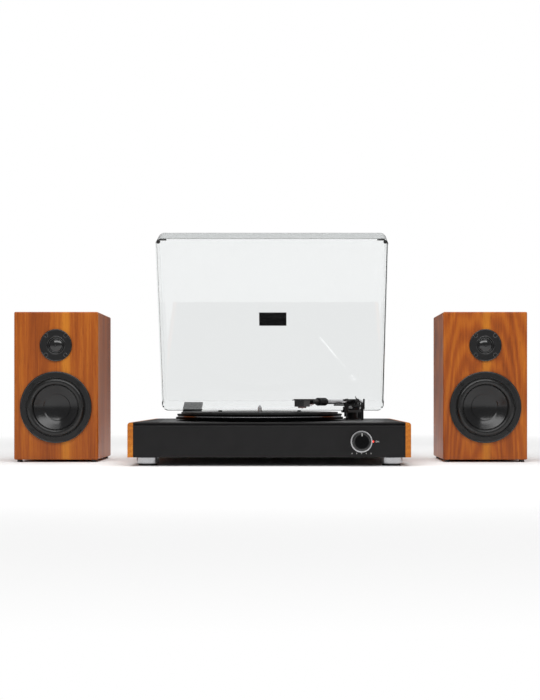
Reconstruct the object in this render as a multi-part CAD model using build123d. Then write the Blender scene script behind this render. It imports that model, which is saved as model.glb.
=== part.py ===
"""Record player with a clear cover and two bookshelf speakers, as separate solids in millimetres.

Frame: +X to the right, +Y to the rear, +Z up, floor at Z = 0.
Depths are measured to the rear from the deck's front plane, and the last step moves
every piece forward so that the origin lies under the middle of the overall box.
"""
from build123d import *
import os
from math import acos, asin, atan2, cos, hypot, radians, sin

# Clearances
RUN_GAP = 0.05      # radial play of a shaft in its bearing
SOFT_GAP = 0.3      # air between pieces that pass each other
SEAT_GAP = 0.05     # radial play of a fixed pin in its hole

# Deck case
DECK_W = 460.0
DECK_D = 355.0
CHEEK_T = 9.0
CHEEK_EDGE_R = 5.0
PAD_H = 3.0
PAD_R = 15.5
SHELL_H = 11.2
SHELL_R = 18.4
SHELL_EDGE = 1.0
FOOT_INSET_X = 29.5
FOOT_INSET_Y = 30.0
PANEL_H = 53.8
PANEL_T = 6.0
PANEL_SETBACK = 1.0
PANEL_EDGE_R = 5.0
PLATE_T = 3.0
PLATE_SETBACK = 0.6
FRAME_WALL = 12.0
COVER_T = 2.0
REAR_T = 3.0
COVER_SCREW_R = 1.6
COVER_SCREW_HEAD_R = 3.0
COVER_SCREW_HEAD_T = 1.4
COVER_SCREW_L = 10.0
COVER_SCREW_INSET = 71.0

HALF_IN = DECK_W / 2 - CHEEK_T
CASE_Z0 = PAD_H + SHELL_H
PLATE_Z0 = CASE_Z0 + PANEL_H
PLATE_Z1 = PLATE_Z0 + PLATE_T
PANEL_Y1 = PANEL_SETBACK + PANEL_T
REAR_Y0 = DECK_D - REAR_T
COVER_Z1 = CASE_Z0 + COVER_T
REAR_WALL_Y0 = REAR_Y0 - FRAME_WALL
FOOT_X = DECK_W / 2 - FOOT_INSET_X
COVER_SCREW_X = HALF_IN - COVER_SCREW_INSET
FOOT_DEPTHS = (FOOT_INSET_Y, DECK_D - FOOT_INSET_Y)

# Platter, spindle and drive
ARM_INSET = 72.0
ARM_CLEAR = 22.0
PLATTER_MARGIN_Y = 27.5
PLATTER_GAP = 2.5
PLATTER_R = 147.5
FLANGE_H = 4.0
GROOVE_R = 143.5
GROOVE_H = 2.2
RING_R = 145.0
RING_H = 3.3
WEB_T = 4.0
RIM_WALL = 8.0
HUB_R = 14.0
BOSS_R = 6.6
BOSS_H = 2.6
MAT_R = 138.5
MAT_T = 3.0
PLUG_OFFSET = 70.0
PLUG_R = 4.0
PLUG_STEM_R = 3.2
PLUG_H = 2.5
SPINDLE_R = 3.6
SPINDLE_SHAFT_R = 5.0
SPINDLE_UP = 12.0
SPINDLE_TIP_H = 4.0
SPINDLE_TIP_R = 1.0
SPINDLE_DOWN = 32.0
BEARING_R = 9.0
BEARING_FLANGE_R = 15.0
BEARING_FLANGE_T = 1.2
BEARING_FLOOR = 3.0
DRIVE_R = 64.0
DRIVE_WALL = 4.0
BELT_T = 0.8
BELT_H = 3.0
MOTOR_REACH = 105.0
MOTOR_ANGLE = 135.0
MOTOR_R = 17.0
MOTOR_H = 25.0
MOTOR_SHAFT_R = 1.2
MOTOR_SHAFT_DOWN = 12.0
PULLEY_R = 6.0
PULLEY_FLANGE = 1.0
PULLEY_WEB = 0.6
PULLEY_HOLE_R = 4.0

ARM_X = HALF_IN - ARM_INSET
PLATTER_X = ARM_X - ARM_CLEAR - PLATTER_R
PLATTER_Y = PLATTER_MARGIN_Y + PLATTER_R
PLATTER_Z0 = PLATE_Z1 + PLATTER_GAP
PLATTER_Z1 = PLATTER_Z0 + FLANGE_H + GROOVE_H + RING_H
WEB_Z0 = PLATTER_Z1 - WEB_T
MAT_Z1 = PLATTER_Z1 + MAT_T
SPINDLE_Z0 = PLATE_Z0 - SPINDLE_DOWN
SPINDLE_Z1 = MAT_Z1 + SPINDLE_UP
PIN_FOOT_Z = PLATTER_Z1 + BOSS_H
PIN_TIP_Z = SPINDLE_Z1 - SPINDLE_TIP_H
BELT_Z0 = (PLATTER_Z0 + WEB_Z0 - BELT_H) / 2
MOTOR_X = PLATTER_X + MOTOR_REACH * cos(radians(MOTOR_ANGLE))
MOTOR_Y = PLATTER_Y + MOTOR_REACH * sin(radians(MOTOR_ANGLE))

# Clear cover, drawn closed and then swung open
LID_SIDE_GAP = 9.0
LID_REAR_GAP = 19.0
LID_H = 52.0
LID_T = 3.0
LID_CORNER_R = 12.0
LID_TOP_R = 4.0
LID_Y0 = 2.0
LID_OPEN = 70.0
BUMPER_H = 2.5
BUMPER_R = 3.2
BUMPER_REST = 0.2
NAME_W = 52.0
NAME_L = 26.0
NAME_T = 1.0
HINGE_INSET = 57.0
LEAF_W = 36.0
LEAF_T = 4.0
LEAF_H = 40.0
LEAF_Z_UP = 1.5
LEAF_GAP = 0.5
BARREL_R = 5.0
BARREL_W = 30.0
PIN_R = 1.8
PIN_UP = 6.0
HINGE_FOOT_T = 3.0
HINGE_HEEL = 4.0

LID_W = 2 * (HALF_IN - LID_SIDE_GAP)
LID_L = DECK_D - LID_Y0 - LID_REAR_GAP
HINGE_X = LID_W / 2 - HINGE_INSET
RIM_Z = PLATE_Z1 + BUMPER_H + BUMPER_REST
LID_Y1 = LID_Y0 + LID_L
LID_Z1 = RIM_Z + LID_H
PIN_Y = LID_Y1 + LEAF_T + LEAF_GAP + BARREL_R
PIN_Z = RIM_Z + PIN_UP

# Tonearm: along the arm, S counts forward from the upright pivot
ARM_BEHIND = 46.0
OVERHANG = 14.8
ARM_SWING_IN = 25.6
ARM_ABOVE_MAT = 18.0
TUBE_R = 4.5
BLOCK_S0 = -14.0
BLOCK_S1 = 10.0
BLOCK_HALF = 7.0
CAP_S1 = 46.0
CAP_T = 1.6
AXLE_R = 1.5
YOKE_R = 14.0
YOKE_DISC_T = 3.0
YOKE_EAR_T = 4.0
YOKE_EAR_GAP = 1.5
YOKE_EAR_HALF = 5.5
YOKE_SHAFT_R = 4.0
BASE_FLANGE_R = 15.0
BASE_FLANGE_T = 2.0
BASE_PILLAR_R = 10.5
BASE_PILLAR_H = 13.0
BRACKET_T = 4.0
BRACKET_R = 20.5
STUB_DROP = 5.5
STUB_R = 3.0
WEIGHT_R = 10.0
WEIGHT_S0 = -36.0
WEIGHT_S1 = -18.0
WEIGHT_GROOVE = 0.8
COLLAR_R = 7.0
COLLAR_GRIP = 2.0
COLLAR_L = 32.0
COLLAR_RIBS = 5
COLLAR_RIB_W = 2.4
COLLAR_RIB_H = 0.6
NECK_R = 4.0
NECK_L = 24.0
SHELL_W = 20.5
SHELL_RAISE = 3.6
SHELL_NOSE = 16.4
SHELL_T = 2.4
SHELL_CHAMFER = 4.0
SHELL_LIFT_W = 6.0
SHELL_LIFT_L = 13.0
CART_W = 17.5
CART_L = 24.0
CART_H = 10.6
CART_PIN_UP = 0.23
CART_PIN_STEP = 0.2
STYLUS_BACK = 39.6
STYLUS_BODY_W = 9.0
STYLUS_BODY_L = 14.0
STYLUS_BODY_H = 2.4
STYLUS_TIP_H = 1.6
STYLUS_TIP_R = 1.0
STYLUS_POINT_R = 0.2
LEAD_R = 0.45
LEAD_RUN = 6.0
LEAD_SAG = 1.0

ARM_Y = LID_Y1 - ARM_BEHIND
ARM_Z = MAT_Z1 + ARM_ABOVE_MAT
BRACKET_Z0 = PLATE_Z1 + BASE_PILLAR_H
BRACKET_Z1 = BRACKET_Z0 + BRACKET_T
YOKE_Z0 = BRACKET_Z1 + SOFT_GAP
YOKE_Z1 = YOKE_Z0 + YOKE_DISC_T
EAR_X0 = BLOCK_HALF + YOKE_EAR_GAP
STYLUS_S = hypot(ARM_X - PLATTER_X, ARM_Y - PLATTER_Y) + OVERHANG
SHELL_Z0 = ARM_Z - SHELL_T / 2 + SHELL_RAISE
CART_Z0 = SHELL_Z0 - CART_H
SHELL_S0 = STYLUS_S - STYLUS_BACK
SHELL_S1 = STYLUS_S + SHELL_NOSE
NECK_S0 = SHELL_S0 - NECK_L
COLLAR_S0 = NECK_S0 - COLLAR_L
TUBE_S1 = COLLAR_S0 + COLLAR_GRIP

# Arm lift, its lever and the arm rest
LIFT_REACH = 45.0
LIFT_SWING = 18.0
LIFT_ARC_OUT = 6.0
LIFT_ARC_IN = 48.0
LIFT_BAR_W = 5.0
LIFT_BAR_T = 3.0
LIFT_STEM_R = 2.0
LIFT_GUIDE_R = 5.0
LIFT_TRAVEL = 1.5
LEVER_EAR_T = 3.6
LEVER_T = 3.0
LEVER_W = 6.0
LEVER_UP = 17.0
LEVER_AXLE_R = 2.0
LEVER_AXLE_UP = 4.0
REST_REACH = 75.0
REST_POST_OFF = 15.0
REST_POST_R = 2.2
REST_SADDLE_T = 3.3
REST_SADDLE_W = 8.0
REST_SEAT_DROP = 1.7
REST_PIN_R = 1.0
REST_HUB_R = 2.4
CLIP_T = 1.2
CLIP_W = 6.0
CLIP_RISE = 9.5
CLIP_RUN = 12.2
CLIP_TIP = 4.0

LIFT_X = ARM_X - LIFT_REACH * sin(radians(LIFT_SWING))
LIFT_Y = ARM_Y - LIFT_REACH * cos(radians(LIFT_SWING))
LIFT_BAR_Z1 = ARM_Z - TUBE_R - SOFT_GAP
LIFT_BAR_Z0 = LIFT_BAR_Z1 - LIFT_BAR_T
LIFT_GUIDE_Z1 = LIFT_BAR_Z0 - LIFT_TRAVEL - SOFT_GAP
LEVER_EAR_X1 = ARM_X + BRACKET_R
LEVER_Z = BRACKET_Z1 + LEVER_AXLE_UP
REST_X = ARM_X + REST_POST_OFF
REST_Y = ARM_Y - REST_REACH
REST_SEAT_Z = ARM_Z - TUBE_R - REST_SEAT_DROP
REST_HINGE_Z = REST_SEAT_Z + REST_HUB_R

# Front controls
KNOB_INSET = 71.4
KNOB_UP = 25.7
KNOB_R = 15.0
KNOB_L = 15.0
KNOB_EDGE = 0.8
KNOB_DISH_R = 12.5
KNOB_DISH = 0.5
POINTER_W = 0.9
POINTER_L = 3.6
RING_OUT_R = 17.6
RING_IN_R = 15.6
RING_T = 2.2
SHAFT_R = 3.0
BUSH_R = 4.5
POT_W = 18.0
POT_L = 12.0
LAMP_BESIDE = 19.1
LAMP_R = 1.3
LAMP_OUT = 0.8
LAMP_BODY_R = 2.5
LAMP_BODY_L = 6.0
KNOB_X = HALF_IN - KNOB_INSET
KNOB_Z = CASE_Z0 + KNOB_UP
LAMP_X = KNOB_X + LAMP_BESIDE
KNOB_FACE_Y = PANEL_SETBACK - SOFT_GAP - KNOB_L

# Speed selector, behind the platter
SPEED_INSET_X = 71.0
SPEED_INSET_Y = 33.0
SPEED_SLOT_W = 6.0
SPEED_CAP_L = 7.0
SPEED_CAP_UP = 2.0
SPEED_BODY_L = 24.0
SPEED_BODY_W = 12.0
SPEED_BODY_H = 8.0
SPEED_STEM = 3.0
SPEED_TRAVEL = 8.0
SPEED_SLOT_L = SPEED_CAP_L + SPEED_TRAVEL + 2 * SOFT_GAP
SPEED_X = SPEED_INSET_X - HALF_IN
SPEED_Y = DECK_D - SPEED_INSET_Y

# Sockets on the rear panel and on the speakers
SOCKET_UP = 27.8
SOCKET_WINDOW_MARGIN = 30.0
SOCKET_WINDOW_H = 36.0
BANANA_R = 2.0
BANANA_OUT_R = 4.5
BANANA_FLANGE_R = 6.0
BANANA_FLANGE_T = 2.0
BANANA_DEPTH = 14.0
BANANA_L = 18.0
BANANA_PITCH = 19.0
BANANA_PAIR_PITCH = 60.0
BANANA_FIRST = -90.0
PHONO_R = 4.15
PHONO_OUT = 9.0
PHONO_HOLE_R = 1.7
PHONO_FLANGE_R = 6.0
PHONO_FLANGE_T = 1.5
PHONO_BODY_L = 8.0
PHONO_FIRST = 40.0
PHONO_PITCH = 19.0
INLET_X = 100.0
INLET_W = 11.0
INLET_H = 12.0
INLET_L = 13.0
INLET_HOLE_R = 2.8
INLET_PIN_R = 1.0
INLET_DEPTH = 9.0
INLET_PIN_SETBACK = 1.0
SOCKET_Z = CASE_Z0 + SOCKET_UP
BANANA_PAIRS_X = (BANANA_FIRST, BANANA_FIRST + BANANA_PAIR_PITCH)
PHONO_X = (PHONO_FIRST, PHONO_FIRST + PHONO_PITCH)
SOCKET_WINDOW_X0 = BANANA_FIRST - SOCKET_WINDOW_MARGIN
SOCKET_WINDOW_X1 = INLET_X + SOCKET_WINDOW_MARGIN

# Amplifier board
BOARD_W = 150.0
BOARD_D = 70.0
BOARD_T = 1.6
BOARD_SIDE_GAP = 4.0
BOARD_FRONT_GAP = 36.0
BOARD_INSET = 5.0
STANDOFF_R = 3.0
STANDOFF_H = 6.0
SINK_W = 60.0
SINK_D = 18.0
SINK_H = 22.0
BOARD_X = HALF_IN - FRAME_WALL - BOARD_SIDE_GAP - BOARD_W / 2
BOARD_Y = PANEL_Y1 + FRAME_WALL + BOARD_FRONT_GAP + BOARD_D / 2

# Speakers
SPK_GAP = 67.5
SPK_Y = 117.0
SPK_W = 145.0
SPK_H = 255.0
SPK_D = 138.5
SPK_WALL = 12.0
SPK_EDGE_R = 2.5
SPK_FOOT_H = 4.2
SPK_FOOT_R = 4.5
SPK_FOOT_INSET = 8.5
WOOFER_UP = 90.5
WOOFER_R = 61.7
WOOFER_T = 3.0
WOOFER_STEP_R = 52.0
WOOFER_STEP = 1.2
WOOFER_HOLE_R = 53.0
WOOFER_CUP_R = 51.5
WOOFER_CUP_D = 34.0
WOOFER_CUP_T = 2.0
WOOFER_BACK_R = 33.0
SURROUND_OUT_R = 50.0
SURROUND_T = 0.9
CONE_R = 38.0
CONE_NECK_R = 14.0
CONE_CAP_R = 24.0
CONE_DEPTH = 16.0
CONE_CAP_DEPTH = 9.0
CAP_RING_SHARE = 0.62
CAP_RING_DEPTH = 0.72
CONE_T = 1.0
COIL_R = 12.5
COIL_T = 0.8
COIL_L = 14.0
MAGNET_R = 40.0
MAGNET_H = 22.0
MAGNET_BORE_R = 16.0
POLE_R = 11.0
MAGNET_BACK_T = 4.0
TWEETER_DOWN = 57.7
TWEETER_R = 27.8
TWEETER_T = 2.5
TWEETER_CAN_R = 20.0
TWEETER_CAN_L = 22.0
TWEETER_WELL_R = 15.5
TWEETER_WELL = 1.2
DOME_R = 11.0
DOME_RISE = 4.2
DRIVER_SCREW_R = 1.5
DRIVER_SCREW_HEAD_R = 2.9
DRIVER_SCREW_HEAD_T = 1.1
DRIVER_SCREW_L = 9.0
WOOFER_SCREW_AT = 57.0
TWEETER_SCREW_AT = 23.6
CUP_UP = 55.8
CUP_W = 74.0
CUP_H = 50.0
CUP_FLANGE = 6.0
CUP_FLANGE_T = 2.0
CUP_DEPTH = 12.0
CUP_WALL = 2.0
XOVER_W = 70.0
XOVER_D = 60.0
XOVER_T = 1.6
COIL_FORM_R = 12.0
COIL_FORM_H = 16.0
CAP_BODY_R = 7.0
CAP_BODY_L = 26.0

SPK_X = DECK_W / 2 + SPK_GAP + SPK_W / 2
SPK_Z0 = SPK_FOOT_H
SPK_Z1 = SPK_Z0 + SPK_H
WOOFER_Z = SPK_Z0 + WOOFER_UP
TWEETER_Z = SPK_Z1 - TWEETER_DOWN
CUP_Z = SPK_Z0 + CUP_UP
SPK_Y1 = SPK_Y + SPK_D
FLANGE_Y = SPK_Y - WOOFER_T
CUP_FLOOR_Y = SPK_Y1 - CUP_DEPTH


def slab(x0, x1, y0, y1, z0, z1):
    """A block between three pairs of faces."""
    return Pos((x0 + x1) / 2, (y0 + y1) / 2, (z0 + z1) / 2) * Box(x1 - x0, y1 - y0, z1 - z0)


def upright(x, y, z0, z1, radius):
    """A round bar along Z."""
    return Pos(x, y, (z0 + z1) / 2) * Cylinder(radius, z1 - z0)


def along_x(y, z, x0, x1, radius):
    """A round bar along X."""
    return Pos((x0 + x1) / 2, y, z) * Rot(0, 90, 0) * Cylinder(radius, x1 - x0)


def along_y(x, z, y0, y1, radius):
    """A round bar along Y."""
    return Pos(x, (y0 + y1) / 2, z) * Rot(90, 0, 0) * Cylinder(radius, y1 - y0)


def turned(points):
    """A solid of revolution about Z from its (radius, height) outline."""
    outline = Polyline(*[(r, 0, z) for r, z in points], close=True)
    return revolve(make_face(outline), Axis.Z)


def turned_forward(points, x, y, z):
    """A solid of revolution about Y: heights in the outline count forward from y."""
    return Pos(x, y, z) * Rot(90, 0, 0) * turned(points)


def round_loop(x0, y0, r0, x1, y1, r1):
    """The flat outline of a band pulled tight round two circles."""
    reach = hypot(x1 - x0, y1 - y0)
    heading = atan2(y1 - y0, x1 - x0)
    lean = acos((r0 - r1) / reach)
    corners = []
    for x, y, r, side in ((x0, y0, r0, 1), (x1, y1, r1, 1), (x1, y1, r1, -1), (x0, y0, r0, -1)):
        angle = heading + side * lean
        corners.append((x + r * cos(angle), y + r * sin(angle)))
    return Pos(x0, y0) * Circle(r0) + Pos(x1, y1) * Circle(r1) + make_face(Polyline(*corners, close=True))


def group(solids):
    """Separate solids kept side by side in one node."""
    return Compound(children=[solid for solid in solids])


def corner_places(half_x, half_y):
    """The four corners of a rectangle about the origin."""
    return [(sx * half_x, sy * half_y) for sx in (-1, 1) for sy in (-1, 1)]


def edges_at(shape, axis, **places):
    """Edges along an axis whose middle lies at the given coordinates."""
    found = shape.edges().filter_by(axis)
    for name, value in places.items():
        found = [e for e in found if abs(getattr(e.center(), name) - value) < 0.01]
    return found


def side_cheeks():
    """Two wooden end boards with a rounded outer top edge."""
    boards = []
    for side in (-1, 1):
        x_in, x_out = side * HALF_IN, side * DECK_W / 2
        board = slab(min(x_in, x_out), max(x_in, x_out), 0, DECK_D, CASE_Z0, PLATE_Z1)
        boards.append(fillet(edges_at(board, Axis.Y, X=x_out, Z=PLATE_Z1), CHEEK_EDGE_R))
    return group(boards)


def plinth_frame():
    """Four-sided frame that carries the plate, panels and cheeks."""
    frame = slab(-HALF_IN, HALF_IN, PANEL_Y1, REAR_Y0, COVER_Z1, PLATE_Z0)
    frame -= slab(-HALF_IN + FRAME_WALL, HALF_IN - FRAME_WALL, PANEL_Y1 + FRAME_WALL,
                  REAR_WALL_Y0, COVER_Z1, PLATE_Z0)
    frame -= along_y(KNOB_X, KNOB_Z, PANEL_Y1, PANEL_Y1 + FRAME_WALL, POT_W)
    frame -= along_y(LAMP_X, KNOB_Z, PANEL_Y1, PANEL_Y1 + FRAME_WALL, 2 * LAMP_BODY_R)
    frame -= slab(SOCKET_WINDOW_X0, SOCKET_WINDOW_X1, REAR_WALL_Y0, REAR_Y0,
                  SOCKET_Z - SOCKET_WINDOW_H / 2, SOCKET_Z + SOCKET_WINDOW_H / 2)
    return frame - cover_screw_holes()


def front_panel():
    """Dark front board with a rounded top edge and holes for the knob and lamp."""
    panel = slab(-HALF_IN, HALF_IN, PANEL_SETBACK, PANEL_Y1, CASE_Z0, PLATE_Z0)
    panel = fillet(edges_at(panel, Axis.X, Y=PANEL_SETBACK, Z=PLATE_Z0), PANEL_EDGE_R)
    panel -= along_y(KNOB_X, KNOB_Z, 0, PANEL_Y1, BUSH_R + SEAT_GAP)
    return panel - along_y(LAMP_X, KNOB_Z, 0, PANEL_Y1, LAMP_R + SEAT_GAP)


def top_plate():
    """Thin plate with the holes for the bearing, pulley, arm and speed slider."""
    plate = slab(-HALF_IN, HALF_IN, PLATE_SETBACK, DECK_D, PLATE_Z0, PLATE_Z1)
    plate -= upright(PLATTER_X, PLATTER_Y, PLATE_Z0, PLATE_Z1, BEARING_R + SEAT_GAP)
    plate -= upright(MOTOR_X, MOTOR_Y, PLATE_Z0, PLATE_Z1, PULLEY_HOLE_R)
    return plate - slab(SPEED_X - SPEED_SLOT_L / 2, SPEED_X + SPEED_SLOT_L / 2,
                        SPEED_Y - SPEED_SLOT_W / 2, SPEED_Y + SPEED_SLOT_W / 2, PLATE_Z0, PLATE_Z1)


def board_corners():
    """The four fixing points of the amplifier board."""
    corners = corner_places(BOARD_W / 2 - BOARD_INSET, BOARD_D / 2 - BOARD_INSET)
    return [(BOARD_X + x, BOARD_Y + y) for x, y in corners]


def cover_screw_places():
    """Screws run up through the cover into the front and rear walls of the frame."""
    rows = (PANEL_Y1 + FRAME_WALL / 2, REAR_Y0 - FRAME_WALL / 2)
    return [(x, y) for x in (-COVER_SCREW_X, 0, COVER_SCREW_X) for y in rows]


def cover_screw_holes():
    """The holes that the cover screws pass through."""
    return [upright(x, y, CASE_Z0, CASE_Z0 + COVER_SCREW_L, COVER_SCREW_R + SEAT_GAP)
            for x, y in cover_screw_places()]


def bottom_cover():
    """Sheet that closes the case from below, with standoffs for the board."""
    cover = slab(-HALF_IN, HALF_IN, PANEL_Y1, REAR_Y0, CASE_Z0, COVER_Z1)
    for x, y in board_corners():
        cover += upright(x, y, COVER_Z1, COVER_Z1 + STANDOFF_H, STANDOFF_R)
    return cover - cover_screw_holes()


def cover_screws():
    """Six pan-head screws under the case."""
    screws = []
    for x, y in cover_screw_places():
        head = upright(x, y, CASE_Z0 - COVER_SCREW_HEAD_T, CASE_Z0, COVER_SCREW_HEAD_R)
        screws.append(head + upright(x, y, CASE_Z0, CASE_Z0 + COVER_SCREW_L, COVER_SCREW_R))
    return group(screws)


def foot_shells():
    """Bright turned metal feet."""
    shells = []
    for x in (-FOOT_X, FOOT_X):
        for y in FOOT_DEPTHS:
            shell = upright(x, y, PAD_H, CASE_Z0, SHELL_R)
            shells.append(chamfer(shell.edges().filter_by(GeomType.CIRCLE), SHELL_EDGE))
    return group(shells)


def foot_pads():
    """Rubber discs under the feet."""
    return group([upright(x, y, 0, PAD_H, PAD_R) for x in (-FOOT_X, FOOT_X) for y in FOOT_DEPTHS])


def at_platter(shape):
    """Move a piece turned about Z to the platter's axis."""
    return Pos(PLATTER_X, PLATTER_Y, 0) * shape


def platter():
    """Cast platter: web, stepped rim, inner drive rim and hub."""
    z0, z1 = PLATTER_Z0, PLATTER_Z1
    groove_z0, groove_z1 = z0 + FLANGE_H, z1 - RING_H
    rim_in = PLATTER_R - RIM_WALL
    bore = SPINDLE_SHAFT_R + SEAT_GAP
    body = turned([
        (bore, z0), (HUB_R, z0), (HUB_R, WEB_Z0), (DRIVE_R - DRIVE_WALL, WEB_Z0),
        (DRIVE_R - DRIVE_WALL, z0), (DRIVE_R, z0), (DRIVE_R, WEB_Z0), (rim_in, WEB_Z0),
        (rim_in, z0), (PLATTER_R, z0), (PLATTER_R, groove_z0), (GROOVE_R, groove_z0),
        (GROOVE_R, groove_z1), (RING_R, groove_z1), (RING_R, z1), (BOSS_R, z1),
        (BOSS_R, z1 + BOSS_H), (bore, z1 + BOSS_H)])
    for side in (-1, 1):
        body -= upright(side * PLUG_OFFSET, 0, WEB_Z0, z1, PLUG_STEM_R + SEAT_GAP)
    return at_platter(body)


def platter_mat():
    """Rubber mat with a centre hole and two plug holes."""
    mat = upright(0, 0, PLATTER_Z1, MAT_Z1, MAT_R) - upright(0, 0, PLATTER_Z1, MAT_Z1, BOSS_R + SOFT_GAP)
    for side in (-1, 1):
        mat -= upright(side * PLUG_OFFSET, 0, PLATTER_Z1, MAT_Z1, PLUG_R + SOFT_GAP)
    return at_platter(mat)


def platter_plugs():
    """Two rubber plugs in the platter's finger holes, standing just above the mat."""
    head_z1 = MAT_Z1 + PLUG_H
    outline = [(0, WEB_Z0), (PLUG_STEM_R, WEB_Z0), (PLUG_STEM_R, PLATTER_Z1), (PLUG_R, PLATTER_Z1),
               (PLUG_R, head_z1 - PLUG_H / 2), (PLUG_R - PLUG_H / 2, head_z1), (0, head_z1)]
    return group([at_platter(Pos(side * PLUG_OFFSET, 0, 0) * turned(outline)) for side in (-1, 1)])


def spindle():
    """Shaft that runs in the bearing, with the narrower record pin on top."""
    return at_platter(turned([
        (0, SPINDLE_Z0), (SPINDLE_SHAFT_R, SPINDLE_Z0), (SPINDLE_SHAFT_R, PIN_FOOT_Z), (SPINDLE_R, PIN_FOOT_Z),
        (SPINDLE_R, PIN_TIP_Z), (SPINDLE_TIP_R, SPINDLE_Z1), (0, SPINDLE_Z1)]))


def bearing_housing():
    """Closed bearing sleeve hung in the plate by its flange."""
    bore = SPINDLE_SHAFT_R + RUN_GAP
    floor_z1 = SPINDLE_Z0 - RUN_GAP
    flange_z1 = PLATE_Z1 + BEARING_FLANGE_T
    return at_platter(turned([
        (0, floor_z1 - BEARING_FLOOR), (BEARING_R, floor_z1 - BEARING_FLOOR), (BEARING_R, PLATE_Z1),
        (BEARING_FLANGE_R, PLATE_Z1), (BEARING_FLANGE_R, flange_z1), (bore, flange_z1),
        (bore, floor_z1), (0, floor_z1)]))


def drive_belt():
    """Flat belt round the drive rim and the pulley."""
    inner = round_loop(PLATTER_X, PLATTER_Y, DRIVE_R + SOFT_GAP, MOTOR_X, MOTOR_Y, PULLEY_R + SOFT_GAP)
    outer = round_loop(PLATTER_X, PLATTER_Y, DRIVE_R + SOFT_GAP + BELT_T,
                       MOTOR_X, MOTOR_Y, PULLEY_R + SOFT_GAP + BELT_T)
    return Pos(0, 0, BELT_Z0) * extrude(outer - inner, amount=BELT_H)


def motor():
    """Motor can fixed under the plate."""
    can = upright(MOTOR_X, MOTOR_Y, PLATE_Z0 - MOTOR_H, PLATE_Z0, MOTOR_R)
    return can - upright(MOTOR_X, MOTOR_Y, PLATE_Z0 - MOTOR_SHAFT_DOWN, PLATE_Z0, MOTOR_SHAFT_R + RUN_GAP)


def motor_pulley():
    """Crowned pulley on its shaft."""
    flange_z0, flange_z1 = PLATTER_Z0, WEB_Z0 - SOFT_GAP
    outline = [(0, PLATE_Z0 - MOTOR_SHAFT_DOWN), (MOTOR_SHAFT_R, PLATE_Z0 - MOTOR_SHAFT_DOWN),
               (MOTOR_SHAFT_R, flange_z0), (PULLEY_R + PULLEY_FLANGE, flange_z0),
               (PULLEY_R + PULLEY_FLANGE, flange_z0 + PULLEY_WEB), (PULLEY_R, flange_z0 + PULLEY_WEB),
               (PULLEY_R, flange_z1), (0, flange_z1)]
    return Pos(MOTOR_X, MOTOR_Y, 0) * turned(outline)


def at_arm(shape, swing=ARM_SWING_IN):
    """Move a piece drawn round the arm's upright pivot, facing forward, to its place."""
    return Pos(ARM_X, ARM_Y, 0) * Rot(0, 0, -swing) * shape


def rod_s(s0, s1, radius, z=ARM_Z):
    """A round bar along the arm."""
    return along_y(0, z, -s1, -s0, radius)


def arm_base():
    """Fixed pillar and bracket that carry the yoke, the lift and the lever."""
    base = upright(ARM_X, ARM_Y, PLATE_Z1, PLATE_Z1 + BASE_FLANGE_T, BASE_FLANGE_R)
    base += upright(ARM_X, ARM_Y, PLATE_Z1, BRACKET_Z0, BASE_PILLAR_R)
    outline = round_loop(ARM_X, ARM_Y, BRACKET_R, LIFT_X, LIFT_Y, LIFT_GUIDE_R + LIFT_STEM_R)
    base += Pos(0, 0, BRACKET_Z0) * extrude(outline, amount=BRACKET_T)
    base += upright(LIFT_X, LIFT_Y, BRACKET_Z0, LIFT_GUIDE_Z1, LIFT_GUIDE_R)
    base -= upright(LIFT_X, LIFT_Y, BRACKET_Z0, LIFT_GUIDE_Z1, LIFT_STEM_R + RUN_GAP)
    base += slab(LEVER_EAR_X1 - LEVER_EAR_T, LEVER_EAR_X1, ARM_Y - LEVER_W, ARM_Y + LEVER_W,
                 BRACKET_Z0, LEVER_Z + LEVER_W / 2 + LEVER_AXLE_R)
    base -= along_x(ARM_Y, LEVER_Z, LEVER_EAR_X1 - LEVER_EAR_T, LEVER_EAR_X1, LEVER_AXLE_R + RUN_GAP)
    return base - upright(ARM_X, ARM_Y, BRACKET_Z0, BRACKET_Z1, YOKE_SHAFT_R + RUN_GAP)


def arm_yoke():
    """Turning fork whose two ears carry the arm's level axle."""
    ear_z1 = ARM_Z + YOKE_EAR_HALF
    yoke = upright(0, 0, YOKE_Z0, YOKE_Z1, YOKE_R) + upright(0, 0, BRACKET_Z0, YOKE_Z0, YOKE_SHAFT_R)
    for side in (-1, 1):
        x_in, x_out = side * EAR_X0, side * (EAR_X0 + YOKE_EAR_T)
        x0, x1 = min(x_in, x_out), max(x_in, x_out)
        yoke += slab(x0, x1, -YOKE_EAR_HALF, YOKE_EAR_HALF, YOKE_Z0, ARM_Z)
        yoke += along_x(0, ARM_Z, x0, x1, ear_z1 - ARM_Z)
        yoke -= along_x(0, ARM_Z, x0, x1, AXLE_R + RUN_GAP)
    return at_arm(yoke)


def gimbal_block():
    """Flat-topped block on the level axle, with the cap over the tube and the rear stub."""
    cap_z1 = ARM_Z + TUBE_R
    block = slab(-BLOCK_HALF, BLOCK_HALF, -BLOCK_S1, -BLOCK_S0, ARM_Z - STUB_DROP - STUB_R, cap_z1)
    block += slab(-BLOCK_HALF, BLOCK_HALF, -CAP_S1, -BLOCK_S1, ARM_Z + CAP_T, cap_z1)
    block -= rod_s(BLOCK_S1, CAP_S1, TUBE_R + SEAT_GAP)
    block += along_x(0, ARM_Z, -EAR_X0 - YOKE_EAR_T, EAR_X0 + YOKE_EAR_T, AXLE_R)
    return at_arm(block + rod_s(WEIGHT_S0, BLOCK_S0, STUB_R, ARM_Z - STUB_DROP))


def arm_tube():
    """Bright straight tube from the block to the headshell collar."""
    return at_arm(rod_s(BLOCK_S1, TUBE_S1, TUBE_R))


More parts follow.
